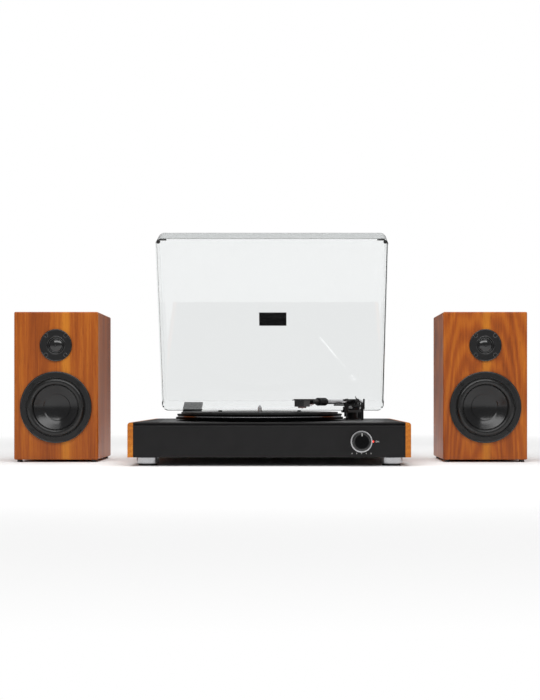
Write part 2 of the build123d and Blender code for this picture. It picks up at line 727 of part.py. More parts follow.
def counterweight():
    """Round weight on the rear stub, with a grip groove."""
    z = ARM_Z - STUB_DROP
    middle = (WEIGHT_S0 + WEIGHT_S1) / 2
    weight = rod_s(WEIGHT_S0, WEIGHT_S1, WEIGHT_R, z)
    ring = rod_s(middle - WEIGHT_GROOVE, middle + WEIGHT_GROOVE, WEIGHT_R, z)
    weight -= ring - rod_s(middle - WEIGHT_GROOVE, middle + WEIGHT_GROOVE, WEIGHT_R - WEIGHT_GROOVE, z)
    return at_arm(weight - rod_s(WEIGHT_S0, WEIGHT_S1, STUB_R + RUN_GAP, z))


def arm_collar():
    """Ribbed locking collar round the tube's front end."""
    collar = rod_s(COLLAR_S0, NECK_S0, COLLAR_R - COLLAR_RIB_H)
    pitch = COLLAR_L / COLLAR_RIBS
    for index in range(COLLAR_RIBS):
        start = COLLAR_S0 + pitch * (index + 0.5) - COLLAR_RIB_W / 2
        collar += rod_s(start, start + COLLAR_RIB_W, COLLAR_R)
    return at_arm(collar - rod_s(COLLAR_S0, TUBE_S1, TUBE_R + SEAT_GAP))


def headshell():
    """Flat shell with a round neck, pointed shoulders and a finger lift."""
    half = SHELL_W / 2
    shoulder = SHELL_S0 + SHELL_CHAMFER
    outline = Polyline((-NECK_R, -SHELL_S0), (NECK_R, -SHELL_S0), (half, -shoulder - SHELL_CHAMFER),
                       (half, -SHELL_S1 + SHELL_CHAMFER), (half - SHELL_CHAMFER, -SHELL_S1),
                       (SHELL_CHAMFER - half, -SHELL_S1), (-half, -SHELL_S1 + SHELL_CHAMFER),
                       (-half, -shoulder - SHELL_CHAMFER), close=True)
    shell = Pos(0, 0, SHELL_Z0) * extrude(make_face(outline), amount=SHELL_T)
    shell += rod_s(NECK_S0, SHELL_S0 + SHELL_CHAMFER, NECK_R)
    lift_s0 = SHELL_S1 - SHELL_LIFT_L - SHELL_CHAMFER
    shell += slab(-half - SHELL_LIFT_W, -half, -lift_s0 - SHELL_LIFT_W, -lift_s0,
                  SHELL_Z0, SHELL_Z0 + SHELL_T / 2)
    return at_arm(shell)


def cartridge():
    """Pickup body under the headshell."""
    front, back = -STYLUS_S - CART_L / 2, -STYLUS_S + CART_L / 2
    return at_arm(slab(-CART_W / 2, CART_W / 2, front, back, CART_Z0, SHELL_Z0))


def stylus():
    """Removable stylus holder with its tip pointing down."""
    z0 = CART_Z0 - STYLUS_BODY_H
    body = slab(-STYLUS_BODY_W / 2, STYLUS_BODY_W / 2, -STYLUS_S - STYLUS_BODY_L / 2,
                -STYLUS_S + STYLUS_BODY_L / 2, z0, CART_Z0)
    point = Cone(STYLUS_TIP_R, STYLUS_POINT_R, STYLUS_TIP_H)
    tip = Pos(0, -STYLUS_S, z0 - STYLUS_TIP_H / 2) * Rot(180, 0, 0) * point
    return at_arm(body + tip)


def cartridge_leads():
    """Four short tag leads from the neck to the back of the cartridge."""
    leads = []
    back = STYLUS_S - CART_L / 2
    start = SHELL_S0 - LEAD_R
    for index in range(4):
        across = (index - 1.5) * 4 * LEAD_R * 2
        near = (index - 1.5) * 2.4 * LEAD_R * 2
        low = CART_Z0 + CART_H * (CART_PIN_UP + CART_PIN_STEP * (index % 2))
        path = Polyline((near, -start, ARM_Z - NECK_R - LEAD_R),
                        (across, -start - LEAD_RUN, low - LEAD_SAG), (across, -back, low))
        profile = Plane(origin=path @ 0, z_dir=path % 0) * Circle(LEAD_R)
        leads.append(at_arm(sweep(profile, path=path, transition=Transition.ROUND)))
    return group(leads)


def cue_platform():
    """Curved bar under the tube, on a stem that slides in its guide."""
    ring = upright(0, 0, LIFT_BAR_Z0, LIFT_BAR_Z1, LIFT_REACH + LIFT_BAR_W / 2)
    ring -= upright(0, 0, LIFT_BAR_Z0, LIFT_BAR_Z1, LIFT_REACH - LIFT_BAR_W / 2)
    far = 3 * LIFT_REACH
    angles = [LIFT_ARC_OUT, -(LIFT_ARC_IN - LIFT_ARC_OUT) / 2, -LIFT_ARC_IN]
    rays = [(far * sin(radians(a)), -far * cos(radians(a))) for a in angles]
    sector = make_face(Polyline((0, 0), *rays, close=True))
    wedge = Pos(0, 0, LIFT_BAR_Z0) * extrude(sector, amount=LIFT_BAR_T)
    stem = upright(LIFT_X - ARM_X, LIFT_Y - ARM_Y, BRACKET_Z0 + LIFT_TRAVEL, LIFT_BAR_Z0, LIFT_STEM_R)
    return at_arm((ring & wedge) + stem, 0)


def cue_lever():
    """Small lever at the outer side of the arm base, on its cross axle."""
    x0 = LEVER_EAR_X1 + SOFT_GAP
    x1 = x0 + LEVER_T
    lever = along_x(ARM_Y, LEVER_Z, x0, x1, LEVER_W / 2)
    lever += slab(x0, x1, ARM_Y - LEVER_W / 2, ARM_Y + LEVER_W / 2, LEVER_Z, LEVER_Z + LEVER_UP)
    return lever + along_x(ARM_Y, LEVER_Z, LEVER_EAR_X1 - LEVER_EAR_T, x0, LEVER_AXLE_R)


def arm_rest():
    """Post with a saddle beside the parked arm and a hinge ear for the clip."""
    saddle_z0 = REST_SEAT_Z - REST_SADDLE_T
    y0, y1 = REST_Y - REST_SADDLE_W / 2, REST_Y + REST_SADDLE_W / 2
    rest = upright(REST_X, REST_Y, PLATE_Z1, saddle_z0, REST_POST_R)
    rest += slab(ARM_X - TUBE_R, REST_X + REST_HUB_R, y0, y1, saddle_z0, REST_SEAT_Z)
    ear_y0 = REST_Y + CLIP_W / 2 + SOFT_GAP
    rest += slab(REST_X - REST_HUB_R, REST_X + REST_HUB_R, ear_y0, y1 + REST_PIN_R, REST_SEAT_Z - REST_SADDLE_T,
                 REST_HINGE_Z + REST_HUB_R)
    return rest - along_y(REST_X, REST_HINGE_Z, ear_y0, y1 + REST_PIN_R, REST_PIN_R + RUN_GAP)


def profile_y(points, y0, y1):
    """A prism along Y from its (x, z) outline."""
    face = make_face(Polyline(*[(x, y0, z) for x, z in points], close=True))
    return extrude(face, amount=y1 - y0, dir=(0, 1, 0))


def arm_clip():
    """Strap that leans over the parked arm from its hinge pin, with an upturned tip."""
    z = REST_HINGE_Z
    x_end, z_end = REST_X - CLIP_RUN, z + CLIP_RISE
    strap = [(REST_X, z - REST_PIN_R), (x_end, z_end), (x_end - CLIP_T, z_end + CLIP_TIP),
             (x_end, z_end + CLIP_TIP), (x_end + CLIP_T, z_end + CLIP_T),
             (REST_X + CLIP_T, z + REST_PIN_R)]
    y0, y1 = REST_Y - CLIP_W / 2, REST_Y + CLIP_W / 2
    clip = profile_y(strap, y0, y1) + along_y(REST_X, z, y0, y1, REST_HUB_R - SOFT_GAP)
    return clip + along_y(REST_X, z, y1, REST_Y + REST_SADDLE_W / 2 + REST_PIN_R, REST_PIN_R)


def open_lid(shape):
    """Swing a piece of the closed cover up round the hinge pins."""
    return Pos(0, PIN_Y, PIN_Z) * Rot(-LID_OPEN, 0, 0) * Pos(0, -PIN_Y, -PIN_Z) * shape


def dust_cover():
    """Clear five-sided cover with rounded corners."""
    outer = slab(-LID_W / 2, LID_W / 2, LID_Y0, LID_Y1, RIM_Z, LID_Z1)
    outer = fillet(outer.edges().filter_by(Axis.Z), LID_CORNER_R)
    inner_x = LID_W / 2 - LID_T
    inner = slab(-inner_x, inner_x, LID_Y0 + LID_T, LID_Y1 - LID_T, RIM_Z, LID_Z1 - LID_T)
    inner = fillet(inner.edges().filter_by(Axis.Z), LID_CORNER_R - LID_T)
    outer = fillet(outer.faces().sort_by(Axis.Z)[-1].edges(), LID_TOP_R)
    return open_lid(outer - inner)


def lid_bumpers():
    """Two round rubber stops under the cover's front corners."""
    half_x = LID_W / 2 - LID_CORNER_R / 2
    y = LID_Y0 + LID_CORNER_R / 2
    return group([open_lid(upright(x, y, RIM_Z - BUMPER_H, RIM_Z, BUMPER_R)) for x in (-half_x, half_x)])


def lid_plate():
    """Plain dark plate on the cover, without lettering."""
    middle = (LID_Y0 + LID_Y1) / 2
    return open_lid(slab(-NAME_W / 2, NAME_W / 2, middle - NAME_L / 2, middle + NAME_L / 2,
                         LID_Z1, LID_Z1 + NAME_T))


def hinge_leaves():
    """Black plates on the cover's rear wall, each with two ears round its pin."""
    leaves = []
    leaf_z0 = RIM_Z + LEAF_Z_UP
    ear_x0 = BARREL_W / 2 + SOFT_GAP
    for side in (-1, 1):
        x = side * HINGE_X
        leaf = slab(x - LEAF_W / 2, x + LEAF_W / 2, LID_Y1, LID_Y1 + LEAF_T, leaf_z0, leaf_z0 + LEAF_H)
        for x0, x1 in ((x - LEAF_W / 2, x - ear_x0), (x + ear_x0, x + LEAF_W / 2)):
            leaf += along_x(PIN_Y, PIN_Z, x0, x1, BARREL_R)
            leaf += slab(x0, x1, LID_Y1 + LEAF_T, PIN_Y, PIN_Z, PIN_Z + BARREL_R)
            leaf -= along_x(PIN_Y, PIN_Z, x0, x1, PIN_R + RUN_GAP)
        leaves.append(open_lid(leaf))
    return group(leaves)


def hinge_pins():
    """Steel pins fixed in the hinge bases."""
    return group([along_x(PIN_Y, PIN_Z, side * HINGE_X - LEAF_W / 2, side * HINGE_X + LEAF_W / 2, PIN_R)
                  for side in (-1, 1)])


def hinge_bases():
    """Rounded black blocks on the plate's rear edge."""
    bases = []
    for side in (-1, 1):
        x0, x1 = side * HINGE_X - BARREL_W / 2, side * HINGE_X + BARREL_W / 2
        base = along_x(PIN_Y, PIN_Z, x0, x1, BARREL_R)
        base += slab(x0, x1, PIN_Y - BARREL_R, PIN_Y + BARREL_R, PLATE_Z1, PIN_Z)
        base += slab(x0, x1, PIN_Y - BARREL_R, PIN_Y + BARREL_R + HINGE_HEEL,
                     PLATE_Z1, PLATE_Z1 + HINGE_FOOT_T)
        bases.append(base - along_x(PIN_Y, PIN_Z, x0, x1, PIN_R + SEAT_GAP))
    return group(bases)


def volume_knob():
    """Black knob with a dished face, pointer groove and shaft."""
    face = KNOB_L
    knob = turned_forward([(0, 0), (KNOB_R, 0), (KNOB_R, face - KNOB_EDGE), (KNOB_R - KNOB_EDGE, face),
                           (KNOB_DISH_R, face), (KNOB_DISH_R - KNOB_DISH, face - KNOB_DISH),
                           (0, face - KNOB_DISH)], KNOB_X, KNOB_FACE_Y + KNOB_L, KNOB_Z)
    knob -= slab(KNOB_X - POINTER_W / 2, KNOB_X + POINTER_W / 2, KNOB_FACE_Y, KNOB_FACE_Y + KNOB_DISH,
                 KNOB_Z + KNOB_R - POINTER_L, KNOB_Z + KNOB_R)
    return knob + along_y(KNOB_X, KNOB_Z, KNOB_FACE_Y + KNOB_L, PANEL_Y1 + POT_L / 2, SHAFT_R)


def knob_ring():
    """Bright ring set on the panel round the knob."""
    ring = along_y(KNOB_X, KNOB_Z, PANEL_SETBACK - RING_T, PANEL_SETBACK, RING_OUT_R)
    return ring - along_y(KNOB_X, KNOB_Z, PANEL_SETBACK - RING_T, PANEL_SETBACK, RING_IN_R)


def volume_control():
    """Potentiometer behind the panel, with its bush through the panel's hole."""
    half = POT_W / 2
    pot = slab(KNOB_X - half, KNOB_X + half, PANEL_Y1, PANEL_Y1 + POT_L, KNOB_Z - half, KNOB_Z + half)
    pot += along_y(KNOB_X, KNOB_Z, PANEL_SETBACK, PANEL_Y1, BUSH_R)
    return pot - along_y(KNOB_X, KNOB_Z, PANEL_SETBACK, PANEL_Y1 + POT_L / 2, SHAFT_R + RUN_GAP)


def power_lamp():
    """Small lamp with a domed front."""
    lamp = along_y(LAMP_X, KNOB_Z, PANEL_SETBACK, PANEL_Y1, LAMP_R)
    lamp += along_y(LAMP_X, KNOB_Z, PANEL_Y1, PANEL_Y1 + LAMP_BODY_L, LAMP_BODY_R)
    dome = turned_forward([(0, 0), (LAMP_R, 0), (LAMP_R * 0.7, LAMP_OUT * 0.7), (0, LAMP_OUT)],
                          LAMP_X, PANEL_SETBACK, KNOB_Z)
    return lamp + dome


def speed_slider():
    """Cap and stem of the speed selector."""
    x0 = SPEED_X - SPEED_SLOT_L / 2 + SOFT_GAP
    half = SPEED_SLOT_W / 2 - SOFT_GAP
    return slab(x0, x0 + SPEED_CAP_L, SPEED_Y - half, SPEED_Y + half,
                PLATE_Z0 - SPEED_STEM, PLATE_Z1 + SPEED_CAP_UP)


def speed_switch():
    """Switch body under the plate, with a channel for the slider."""
    body = slab(SPEED_X - SPEED_BODY_L / 2, SPEED_X + SPEED_BODY_L / 2, SPEED_Y - SPEED_BODY_W / 2,
                SPEED_Y + SPEED_BODY_W / 2, PLATE_Z0 - SPEED_BODY_H, PLATE_Z0)
    return body - slab(SPEED_X - SPEED_SLOT_L / 2, SPEED_X + SPEED_SLOT_L / 2, SPEED_Y - SPEED_SLOT_W / 2,
                       SPEED_Y + SPEED_SLOT_W / 2, PLATE_Z0 - SPEED_STEM - SOFT_GAP, PLATE_Z0)


def banana_places():
    """Loudspeaker sockets on the deck's rear panel."""
    return [x + step for x in BANANA_PAIRS_X for step in (0, BANANA_PITCH)]


def banana_socket(x, y, z):
    """Round socket whose flange lies on a rear face at y, open to the rear."""
    socket = along_y(x, z, y - BANANA_L + BANANA_FLANGE_T, y, BANANA_OUT_R)
    socket += along_y(x, z, y, y + BANANA_FLANGE_T, BANANA_FLANGE_R)
    return socket - along_y(x, z, y + BANANA_FLANGE_T - BANANA_DEPTH, y + BANANA_FLANGE_T, BANANA_R)


def cup_socket_places():
    """Sockets in the two speakers' terminal cups."""
    return [(spk * SPK_X + side * BANANA_PITCH / 2, CUP_FLOOR_Y + CUP_WALL, CUP_Z)
            for spk in (-1, 1) for side in (-1, 1)]


def banana_sockets():
    """All eight loudspeaker sockets: four on the deck, two on each speaker."""
    places = [(x, DECK_D, SOCKET_Z) for x in banana_places()] + cup_socket_places()
    return group([banana_socket(*place) for place in places])


def phono_sockets():
    """A pair of phono sockets."""
    sockets = []
    for x in PHONO_X:
        body = along_y(x, SOCKET_Z, REAR_Y0 - PHONO_BODY_L, DECK_D + PHONO_OUT, PHONO_R)
        body += along_y(x, SOCKET_Z, DECK_D, DECK_D + PHONO_FLANGE_T, PHONO_FLANGE_R)
        sockets.append(body - along_y(x, SOCKET_Z, DECK_D, DECK_D + PHONO_OUT, PHONO_HOLE_R))
    return group(sockets)


def power_inlet():
    """Low-voltage inlet with its centre pin."""
    half = INLET_W / 2
    body = slab(INLET_X - half, INLET_X + half, DECK_D - INLET_L, DECK_D, SOCKET_Z - INLET_H / 2,
                SOCKET_Z + INLET_H / 2)
    body -= along_y(INLET_X, SOCKET_Z, DECK_D - INLET_DEPTH, DECK_D, INLET_HOLE_R)
    return body + along_y(INLET_X, SOCKET_Z, DECK_D - INLET_DEPTH, DECK_D - INLET_PIN_SETBACK, INLET_PIN_R)


def rear_panel():
    """Sheet across the back with the holes for every socket."""
    panel = slab(-HALF_IN, HALF_IN, REAR_Y0, DECK_D, CASE_Z0, PLATE_Z0)
    for x in banana_places():
        panel -= along_y(x, SOCKET_Z, REAR_Y0, DECK_D, BANANA_OUT_R + SEAT_GAP)
    for x in PHONO_X:
        panel -= along_y(x, SOCKET_Z, REAR_Y0, DECK_D, PHONO_R + SEAT_GAP)
    return panel - slab(INLET_X - INLET_W / 2, INLET_X + INLET_W / 2, REAR_Y0, DECK_D,
                        SOCKET_Z - INLET_H / 2, SOCKET_Z + INLET_H / 2)


def amplifier_board():
    """Circuit board with its finned heat sink and three tall parts."""
    z0 = COVER_Z1 + STANDOFF_H
    z1 = z0 + BOARD_T
    x0, y0 = BOARD_X - BOARD_W / 2, BOARD_Y - BOARD_D / 2
    board = slab(x0, x0 + BOARD_W, y0, y0 + BOARD_D, z0, z1)
    sink_y0 = y0 + BOARD_D - SINK_D - BOARD_INSET
    board += slab(BOARD_X - SINK_W / 2, BOARD_X + SINK_W / 2, sink_y0, sink_y0 + SINK_D, z1, z1 + SINK_H)
    for index in (-1, 0, 1):
        board += upright(BOARD_X + index * SINK_W / 3, BOARD_Y - BOARD_INSET, z1, z1 + SINK_H / 2, CAP_BODY_R)
    return board


def screw_ring(radius):
    """Four places at forty-five degrees on a circle."""
    half = radius * cos(radians(45))
    return corner_places(half, half)


def driver_screw_places(x):
    """Every driver screw of the speaker at x, with the face that its head sits on."""
    places = [(x + dx, FLANGE_Y, WOOFER_Z + dz) for dx, dz in screw_ring(WOOFER_SCREW_AT)]
    tweeter_y = SPK_Y - TWEETER_T
    return places + [(x + dx, tweeter_y, TWEETER_Z + dz) for dx, dz in screw_ring(TWEETER_SCREW_AT)]


def driver_screw_holes(x):
    """The holes of those screws."""
    return [along_y(sx, sz, sy, sy + DRIVER_SCREW_L, DRIVER_SCREW_R + SEAT_GAP)
            for sx, sy, sz in driver_screw_places(x)]


def cabinet(x):
    """Closed veneered box with the driver holes in front and the terminal hole behind."""
    box = slab(x - SPK_W / 2, x + SPK_W / 2, SPK_Y, SPK_Y1, SPK_Z0, SPK_Z1)
    box = fillet(box.edges(), SPK_EDGE_R)
    box -= slab(x - SPK_W / 2 + SPK_WALL, x + SPK_W / 2 - SPK_WALL, SPK_Y + SPK_WALL, SPK_Y1 - SPK_WALL,
                SPK_Z0 + SPK_WALL, SPK_Z1 - SPK_WALL)
    box -= along_y(x, WOOFER_Z, SPK_Y, SPK_Y + SPK_WALL, WOOFER_HOLE_R)
    box -= along_y(x, TWEETER_Z, SPK_Y, SPK_Y + SPK_WALL, TWEETER_CAN_R + SOFT_GAP)
    half_w, half_h = CUP_W / 2 - CUP_FLANGE, CUP_H / 2 - CUP_FLANGE
    box -= slab(x - half_w, x + half_w, SPK_Y1 - SPK_WALL, SPK_Y1, CUP_Z - half_h, CUP_Z + half_h)
    return box - driver_screw_holes(x)


def woofer_basket(x):
    """Stepped front flange and the cup that holds the cone and magnet."""
    t = WOOFER_T
    inner = WOOFER_CUP_R - WOOFER_CUP_T
    outline = [(SURROUND_OUT_R, t - WOOFER_STEP), (WOOFER_STEP_R, t - WOOFER_STEP), (WOOFER_STEP_R, t),
               (WOOFER_R - t / 3, t), (WOOFER_R, t * 2 / 3), (WOOFER_R, 0), (WOOFER_CUP_R, 0),
               (WOOFER_BACK_R, -WOOFER_CUP_D), (MAGNET_BORE_R, -WOOFER_CUP_D),
               (MAGNET_BORE_R, WOOFER_CUP_T - WOOFER_CUP_D),
               (WOOFER_BACK_R - WOOFER_CUP_T, WOOFER_CUP_T - WOOFER_CUP_D), (inner, 0),
               (SURROUND_OUT_R, 0)]
    return turned_forward(outline, x, SPK_Y, WOOFER_Z) - driver_screw_holes(x)


def woofer_surround(x):
    """Half-round rubber roll between the flange and the cone."""
    roll_r = (SURROUND_OUT_R + CONE_R + SOFT_GAP) / 2
    half = (SURROUND_OUT_R - CONE_R - SOFT_GAP) / 2
    base = WOOFER_T - WOOFER_STEP
    with_roll = Pos(roll_r, 0, base) * Rot(90, 0, 0)
    section = with_roll * (Circle(half) - Circle(half - SURROUND_T))
    section -= Pos(roll_r, 0, base - half) * Rot(90, 0, 0) * Rectangle(2 * half, 2 * half)
    return Pos(x, SPK_Y, WOOFER_Z) * Rot(90, 0, 0) * revolve(section, Axis.Z)


def woofer_cone(x):
    """Cone with its dished cap and the voice coil behind."""
    front = WOOFER_T - WOOFER_STEP
    cap_r = CONE_CAP_R
    slope = CONE_DEPTH / (CONE_R - CONE_NECK_R)
    cap_z = front - slope * (CONE_R - cap_r)
    neck_z = front - CONE_DEPTH
    middle_z = cap_z - CONE_CAP_DEPTH
    ring_r = cap_r * CAP_RING_SHARE
    ring_z = cap_z - CONE_CAP_DEPTH * CAP_RING_DEPTH
    coil_z = neck_z - COIL_L
    shell = turned([
        (0, middle_z), (ring_r, ring_z), (cap_r, cap_z), (CONE_R, front), (CONE_R, front - CONE_T),
        (cap_r, cap_z - CONE_T), (ring_r, ring_z - CONE_T), (COIL_R, neck_z - CONE_T),
        (COIL_R, coil_z), (COIL_R - COIL_T, coil_z), (COIL_R - COIL_T, middle_z - CONE_T),
        (0, middle_z - CONE_T)])
    return Pos(x, SPK_Y, WOOFER_Z) * Rot(90, 0, 0) * shell


def woofer_magnet(x):
    """Ring magnet and back plate with the centre pole."""
    front = -WOOFER_CUP_D
    outline = [(MAGNET_BORE_R, front), (MAGNET_R, front), (MAGNET_R, front - MAGNET_H), (0, front - MAGNET_H),
               (0, front), (POLE_R, front), (POLE_R, front - MAGNET_H + MAGNET_BACK_T),
               (MAGNET_BORE_R, front - MAGNET_H + MAGNET_BACK_T)]
    return turned_forward(outline, x, SPK_Y, WOOFER_Z)


def tweeter_plate(x):
    """Tweeter face plate with its well and the sealed can behind."""
    t = TWEETER_T
    well = t - TWEETER_WELL
    outline = [(0, well), (TWEETER_WELL_R - TWEETER_WELL, well), (TWEETER_WELL_R, t), (TWEETER_R - t / 3, t),
               (TWEETER_R, t * 2 / 3), (TWEETER_R, 0), (TWEETER_CAN_R, 0), (TWEETER_CAN_R, -TWEETER_CAN_L),
               (0, -TWEETER_CAN_L)]
    return turned_forward(outline, x, SPK_Y, TWEETER_Z) - driver_screw_holes(x)


def tweeter_dome(x):
    """Shallow dome seated in the tweeter's well."""
    ball_r = (DOME_R ** 2 + DOME_RISE ** 2) / (2 * DOME_RISE)
    half = asin(DOME_R / ball_r) / 2
    middle = (ball_r * sin(half), 0, DOME_RISE - ball_r * (1 - cos(half)))
    arc = ThreePointArc((0, 0, DOME_RISE), middle, (DOME_R, 0, 0))
    section = make_face(arc + Polyline((DOME_R, 0, 0), (0, 0, 0), (0, 0, DOME_RISE)))
    base_y = SPK_Y - TWEETER_T + TWEETER_WELL
    return Pos(x, base_y, TWEETER_Z) * Rot(90, 0, 0) * revolve(section, Axis.Z)


def driver_screws():
    """Sixteen screws that hold the drivers."""
    screws = []
    for side in (-1, 1):
        for x, y, z in driver_screw_places(side * SPK_X):
            head = turned_forward([(0, 0), (DRIVER_SCREW_HEAD_R, 0), (DRIVER_SCREW_HEAD_R * 0.7, DRIVER_SCREW_HEAD_T),
                                   (0, DRIVER_SCREW_HEAD_T)], x, y, z)
            screws.append(head + along_y(x, z, y, y + DRIVER_SCREW_L, DRIVER_SCREW_R))
    return group(screws)


def speaker_feet():
    """Eight small rubber feet."""
    places = corner_places(SPK_W / 2 - SPK_FOOT_INSET, SPK_D / 2 - SPK_FOOT_INSET)
    middle = (SPK_Y + SPK_Y1) / 2
    return group([upright(side * SPK_X + x, middle + y, 0, SPK_Z0, SPK_FOOT_R)
                  for side in (-1, 1) for x, y in places])


def terminal_cup(x):
    """Recessed plate in the back of a speaker, open to the rear."""
    half_w, half_h = CUP_W / 2, CUP_H / 2
    cup = slab(x - half_w, x + half_w, SPK_Y1, SPK_Y1 + CUP_FLANGE_T, CUP_Z - half_h, CUP_Z + half_h)
    body_w, body_h = half_w - CUP_FLANGE - SEAT_GAP, half_h - CUP_FLANGE - SEAT_GAP
    cup += slab(x - body_w, x + body_w, CUP_FLOOR_Y, SPK_Y1, CUP_Z - body_h, CUP_Z + body_h)
    cup -= slab(x - body_w + CUP_WALL, x + body_w - CUP_WALL, CUP_FLOOR_Y + CUP_WALL, SPK_Y1 + CUP_FLANGE_T,
                CUP_Z - body_h + CUP_WALL, CUP_Z + body_h - CUP_WALL)
    for side in (-1, 1):
        cup -= along_y(x + side * BANANA_PITCH / 2, CUP_Z, CUP_FLOOR_Y, CUP_FLOOR_Y + CUP_WALL,
                       BANANA_OUT_R + SEAT_GAP)
    return cup


def crossover(x):
    """Small board on the cabinet's floor with a coil and a capacitor."""
    z0 = SPK_Z0 + SPK_WALL
    middle = (SPK_Y + SPK_Y1) / 2
    board = slab(x - XOVER_W / 2, x + XOVER_W / 2, middle - XOVER_D / 2, middle + XOVER_D / 2, z0, z0 + XOVER_T)
    board += upright(x - XOVER_W / 4, middle, z0 + XOVER_T, z0 + XOVER_T + COIL_FORM_H, COIL_FORM_R)
    return board + along_y(x + XOVER_W / 4, z0 + XOVER_T + CAP_BODY_R - COIL_T, middle - CAP_BODY_L / 2,
                           middle + CAP_BODY_L / 2, CAP_BODY_R)


def pair(make):
    """The same piece of both speakers in one node."""
    return group([make(side * SPK_X) for side in (-1, 1)])


def rearmost():
    """Depth of the open cover's rear edge, a rounded corner swung round the pins."""
    lean = radians(LID_OPEN)
    y, z = LID_Y1 - LID_TOP_R - PIN_Y, LID_Z1 - LID_TOP_R - PIN_Z
    return PIN_Y + y * cos(lean) + z * sin(lean) + LID_TOP_R


FRONT_Y = -(KNOB_FACE_Y + rearmost()) / 2

NODES = {
    "side_cheeks": side_cheeks(),
    "plinth_frame": plinth_frame(),
    "front_panel": front_panel(),
    "top_plate": top_plate(),
    "bottom_cover": bottom_cover(),
    "rear_panel": rear_panel(),
    "foot_shells": foot_shells(),
    "foot_pads": foot_pads(),
    "cover_screws": cover_screws(),
    "platter": platter(),
    "platter_mat": platter_mat(),
    "platter_plugs": platter_plugs(),
    "spindle": spindle(),
    "bearing_housing": bearing_housing(),
    "drive_belt": drive_belt(),
    "motor": motor(),
    "motor_pulley": motor_pulley(),
    "arm_base": arm_base(),
    "arm_yoke": arm_yoke(),
    "gimbal_block": gimbal_block(),
    "arm_tube": arm_tube(),
    "arm_collar": arm_collar(),
    "headshell": headshell(),
    "cartridge": cartridge(),
    "stylus": stylus(),
    "cartridge_leads": cartridge_leads(),
    "counterweight": counterweight(),
    "cue_platform": cue_platform(),
    "cue_lever": cue_lever(),
    "arm_rest": arm_rest(),
    "arm_clip": arm_clip(),
    "dust_cover": dust_cover(),
    "lid_bumpers": lid_bumpers(),
    "lid_plate": lid_plate(),
    "hinge_leaves": hinge_leaves(),
    "hinge_pins": hinge_pins(),
    "hinge_bases": hinge_bases(),
    "volume_knob": volume_knob(),
    "knob_ring": knob_ring(),
    "volume_control": volume_control(),
    "power_lamp": power_lamp(),
    "amplifier_board": amplifier_board(),
    "phono_sockets": phono_sockets(),
    "banana_sockets": banana_sockets(),
    "power_inlet": power_inlet(),
    "speed_slider": speed_slider(),
    "speed_switch": speed_switch(),
    "left_cabinet": cabinet(-SPK_X),
    "right_cabinet": cabinet(SPK_X),
    "woofer_baskets": pair(woofer_basket),
    "left_woofer_cone": woofer_cone(-SPK_X),
    "right_woofer_cone": woofer_cone(SPK_X),
    "woofer_surrounds": pair(woofer_surround),
    "woofer_magnets": pair(woofer_magnet),
    "tweeter_plates": pair(tweeter_plate),
    "tweeter_domes": pair(tweeter_dome),
    "driver_screws": driver_screws(),
    "speaker_feet": speaker_feet(),
    "terminal_cups": pair(terminal_cup),
    "crossovers": pair(crossover),
}

os.makedirs("parts", exist_ok=True)
for name, shape in NODES.items():
    export_step(Pos(0, FRONT_Y, 0) * shape, f"parts/{name}.step")
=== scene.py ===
"""Looks of a record player and its two bookshelf speakers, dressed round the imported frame.

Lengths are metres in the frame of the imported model: +X right, +Y rear, +Z up, floor at Z = 0.
"""
from __future__ import annotations

import logging
import math
from dataclasses import dataclass, field
from enum import Enum
from typing import Optional, Sequence, Union

import bmesh
import bpy
from mathutils import Matrix, Vector


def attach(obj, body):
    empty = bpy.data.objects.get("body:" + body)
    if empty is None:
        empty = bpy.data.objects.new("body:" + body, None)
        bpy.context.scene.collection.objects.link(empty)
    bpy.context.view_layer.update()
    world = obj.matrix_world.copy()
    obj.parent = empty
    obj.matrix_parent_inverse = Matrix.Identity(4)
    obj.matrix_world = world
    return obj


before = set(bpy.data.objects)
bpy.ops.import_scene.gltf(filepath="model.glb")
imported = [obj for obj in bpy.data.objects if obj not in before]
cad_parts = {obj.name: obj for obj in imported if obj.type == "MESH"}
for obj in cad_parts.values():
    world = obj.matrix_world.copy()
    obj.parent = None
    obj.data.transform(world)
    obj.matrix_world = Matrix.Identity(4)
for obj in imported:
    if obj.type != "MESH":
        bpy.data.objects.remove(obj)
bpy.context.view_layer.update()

LOG = logging.getLogger("record_player")
MM = 0.001

Point = tuple[float, float, float]
Value = Union[float, int, str, bool, Sequence[float], bpy.types.NodeSocket]


def linear(hex_colour: str, alpha: float = 1.0) -> tuple[float, float, float, float]:
    """Turn an sRGB hex colour into linear values.

    Args:
        hex_colour: Colour as "#rrggbb".
        alpha: Opacity to add as the fourth value.

    Returns:
        Linear red, green, blue and alpha.
    """
    channels = [int(hex_colour[i:i + 2], 16) / 255 for i in (1, 3, 5)]
    lit = [c / 12.92 if c <= 0.04045 else ((c + 0.055) / 1.055) ** 2.4 for c in channels]
    return lit[0], lit[1], lit[2], alpha


def add_node(tree: bpy.types.NodeTree, kind: str, inputs: Optional[dict[Union[str, int], Value]] = None,
             **settings: Value) -> bpy.types.Node:
    """Add a shader node with its settings and links.

    Args:
        tree: Node tree to add to.
        kind: Blender's name of the node type.
        inputs: Socket name or index against a value, or against the output that feeds it.
        **settings: Attributes of the node itself.

    Returns:
        The new node.
    """
    node = tree.nodes.new(kind)
    for name, value in settings.items():
        setattr(node, name, value)
    for name, value in (inputs or {}).items():
        if isinstance(value, bpy.types.NodeSocket):
            tree.links.new(value, node.inputs[name])
        else:
            node.inputs[name].default_value = value
    return node


def per_metre(millimetres: float) -> float:
    """Texture scale at which one feature of a noise measures that many millimetres."""
    return 1.0 / (millimetres * MM)


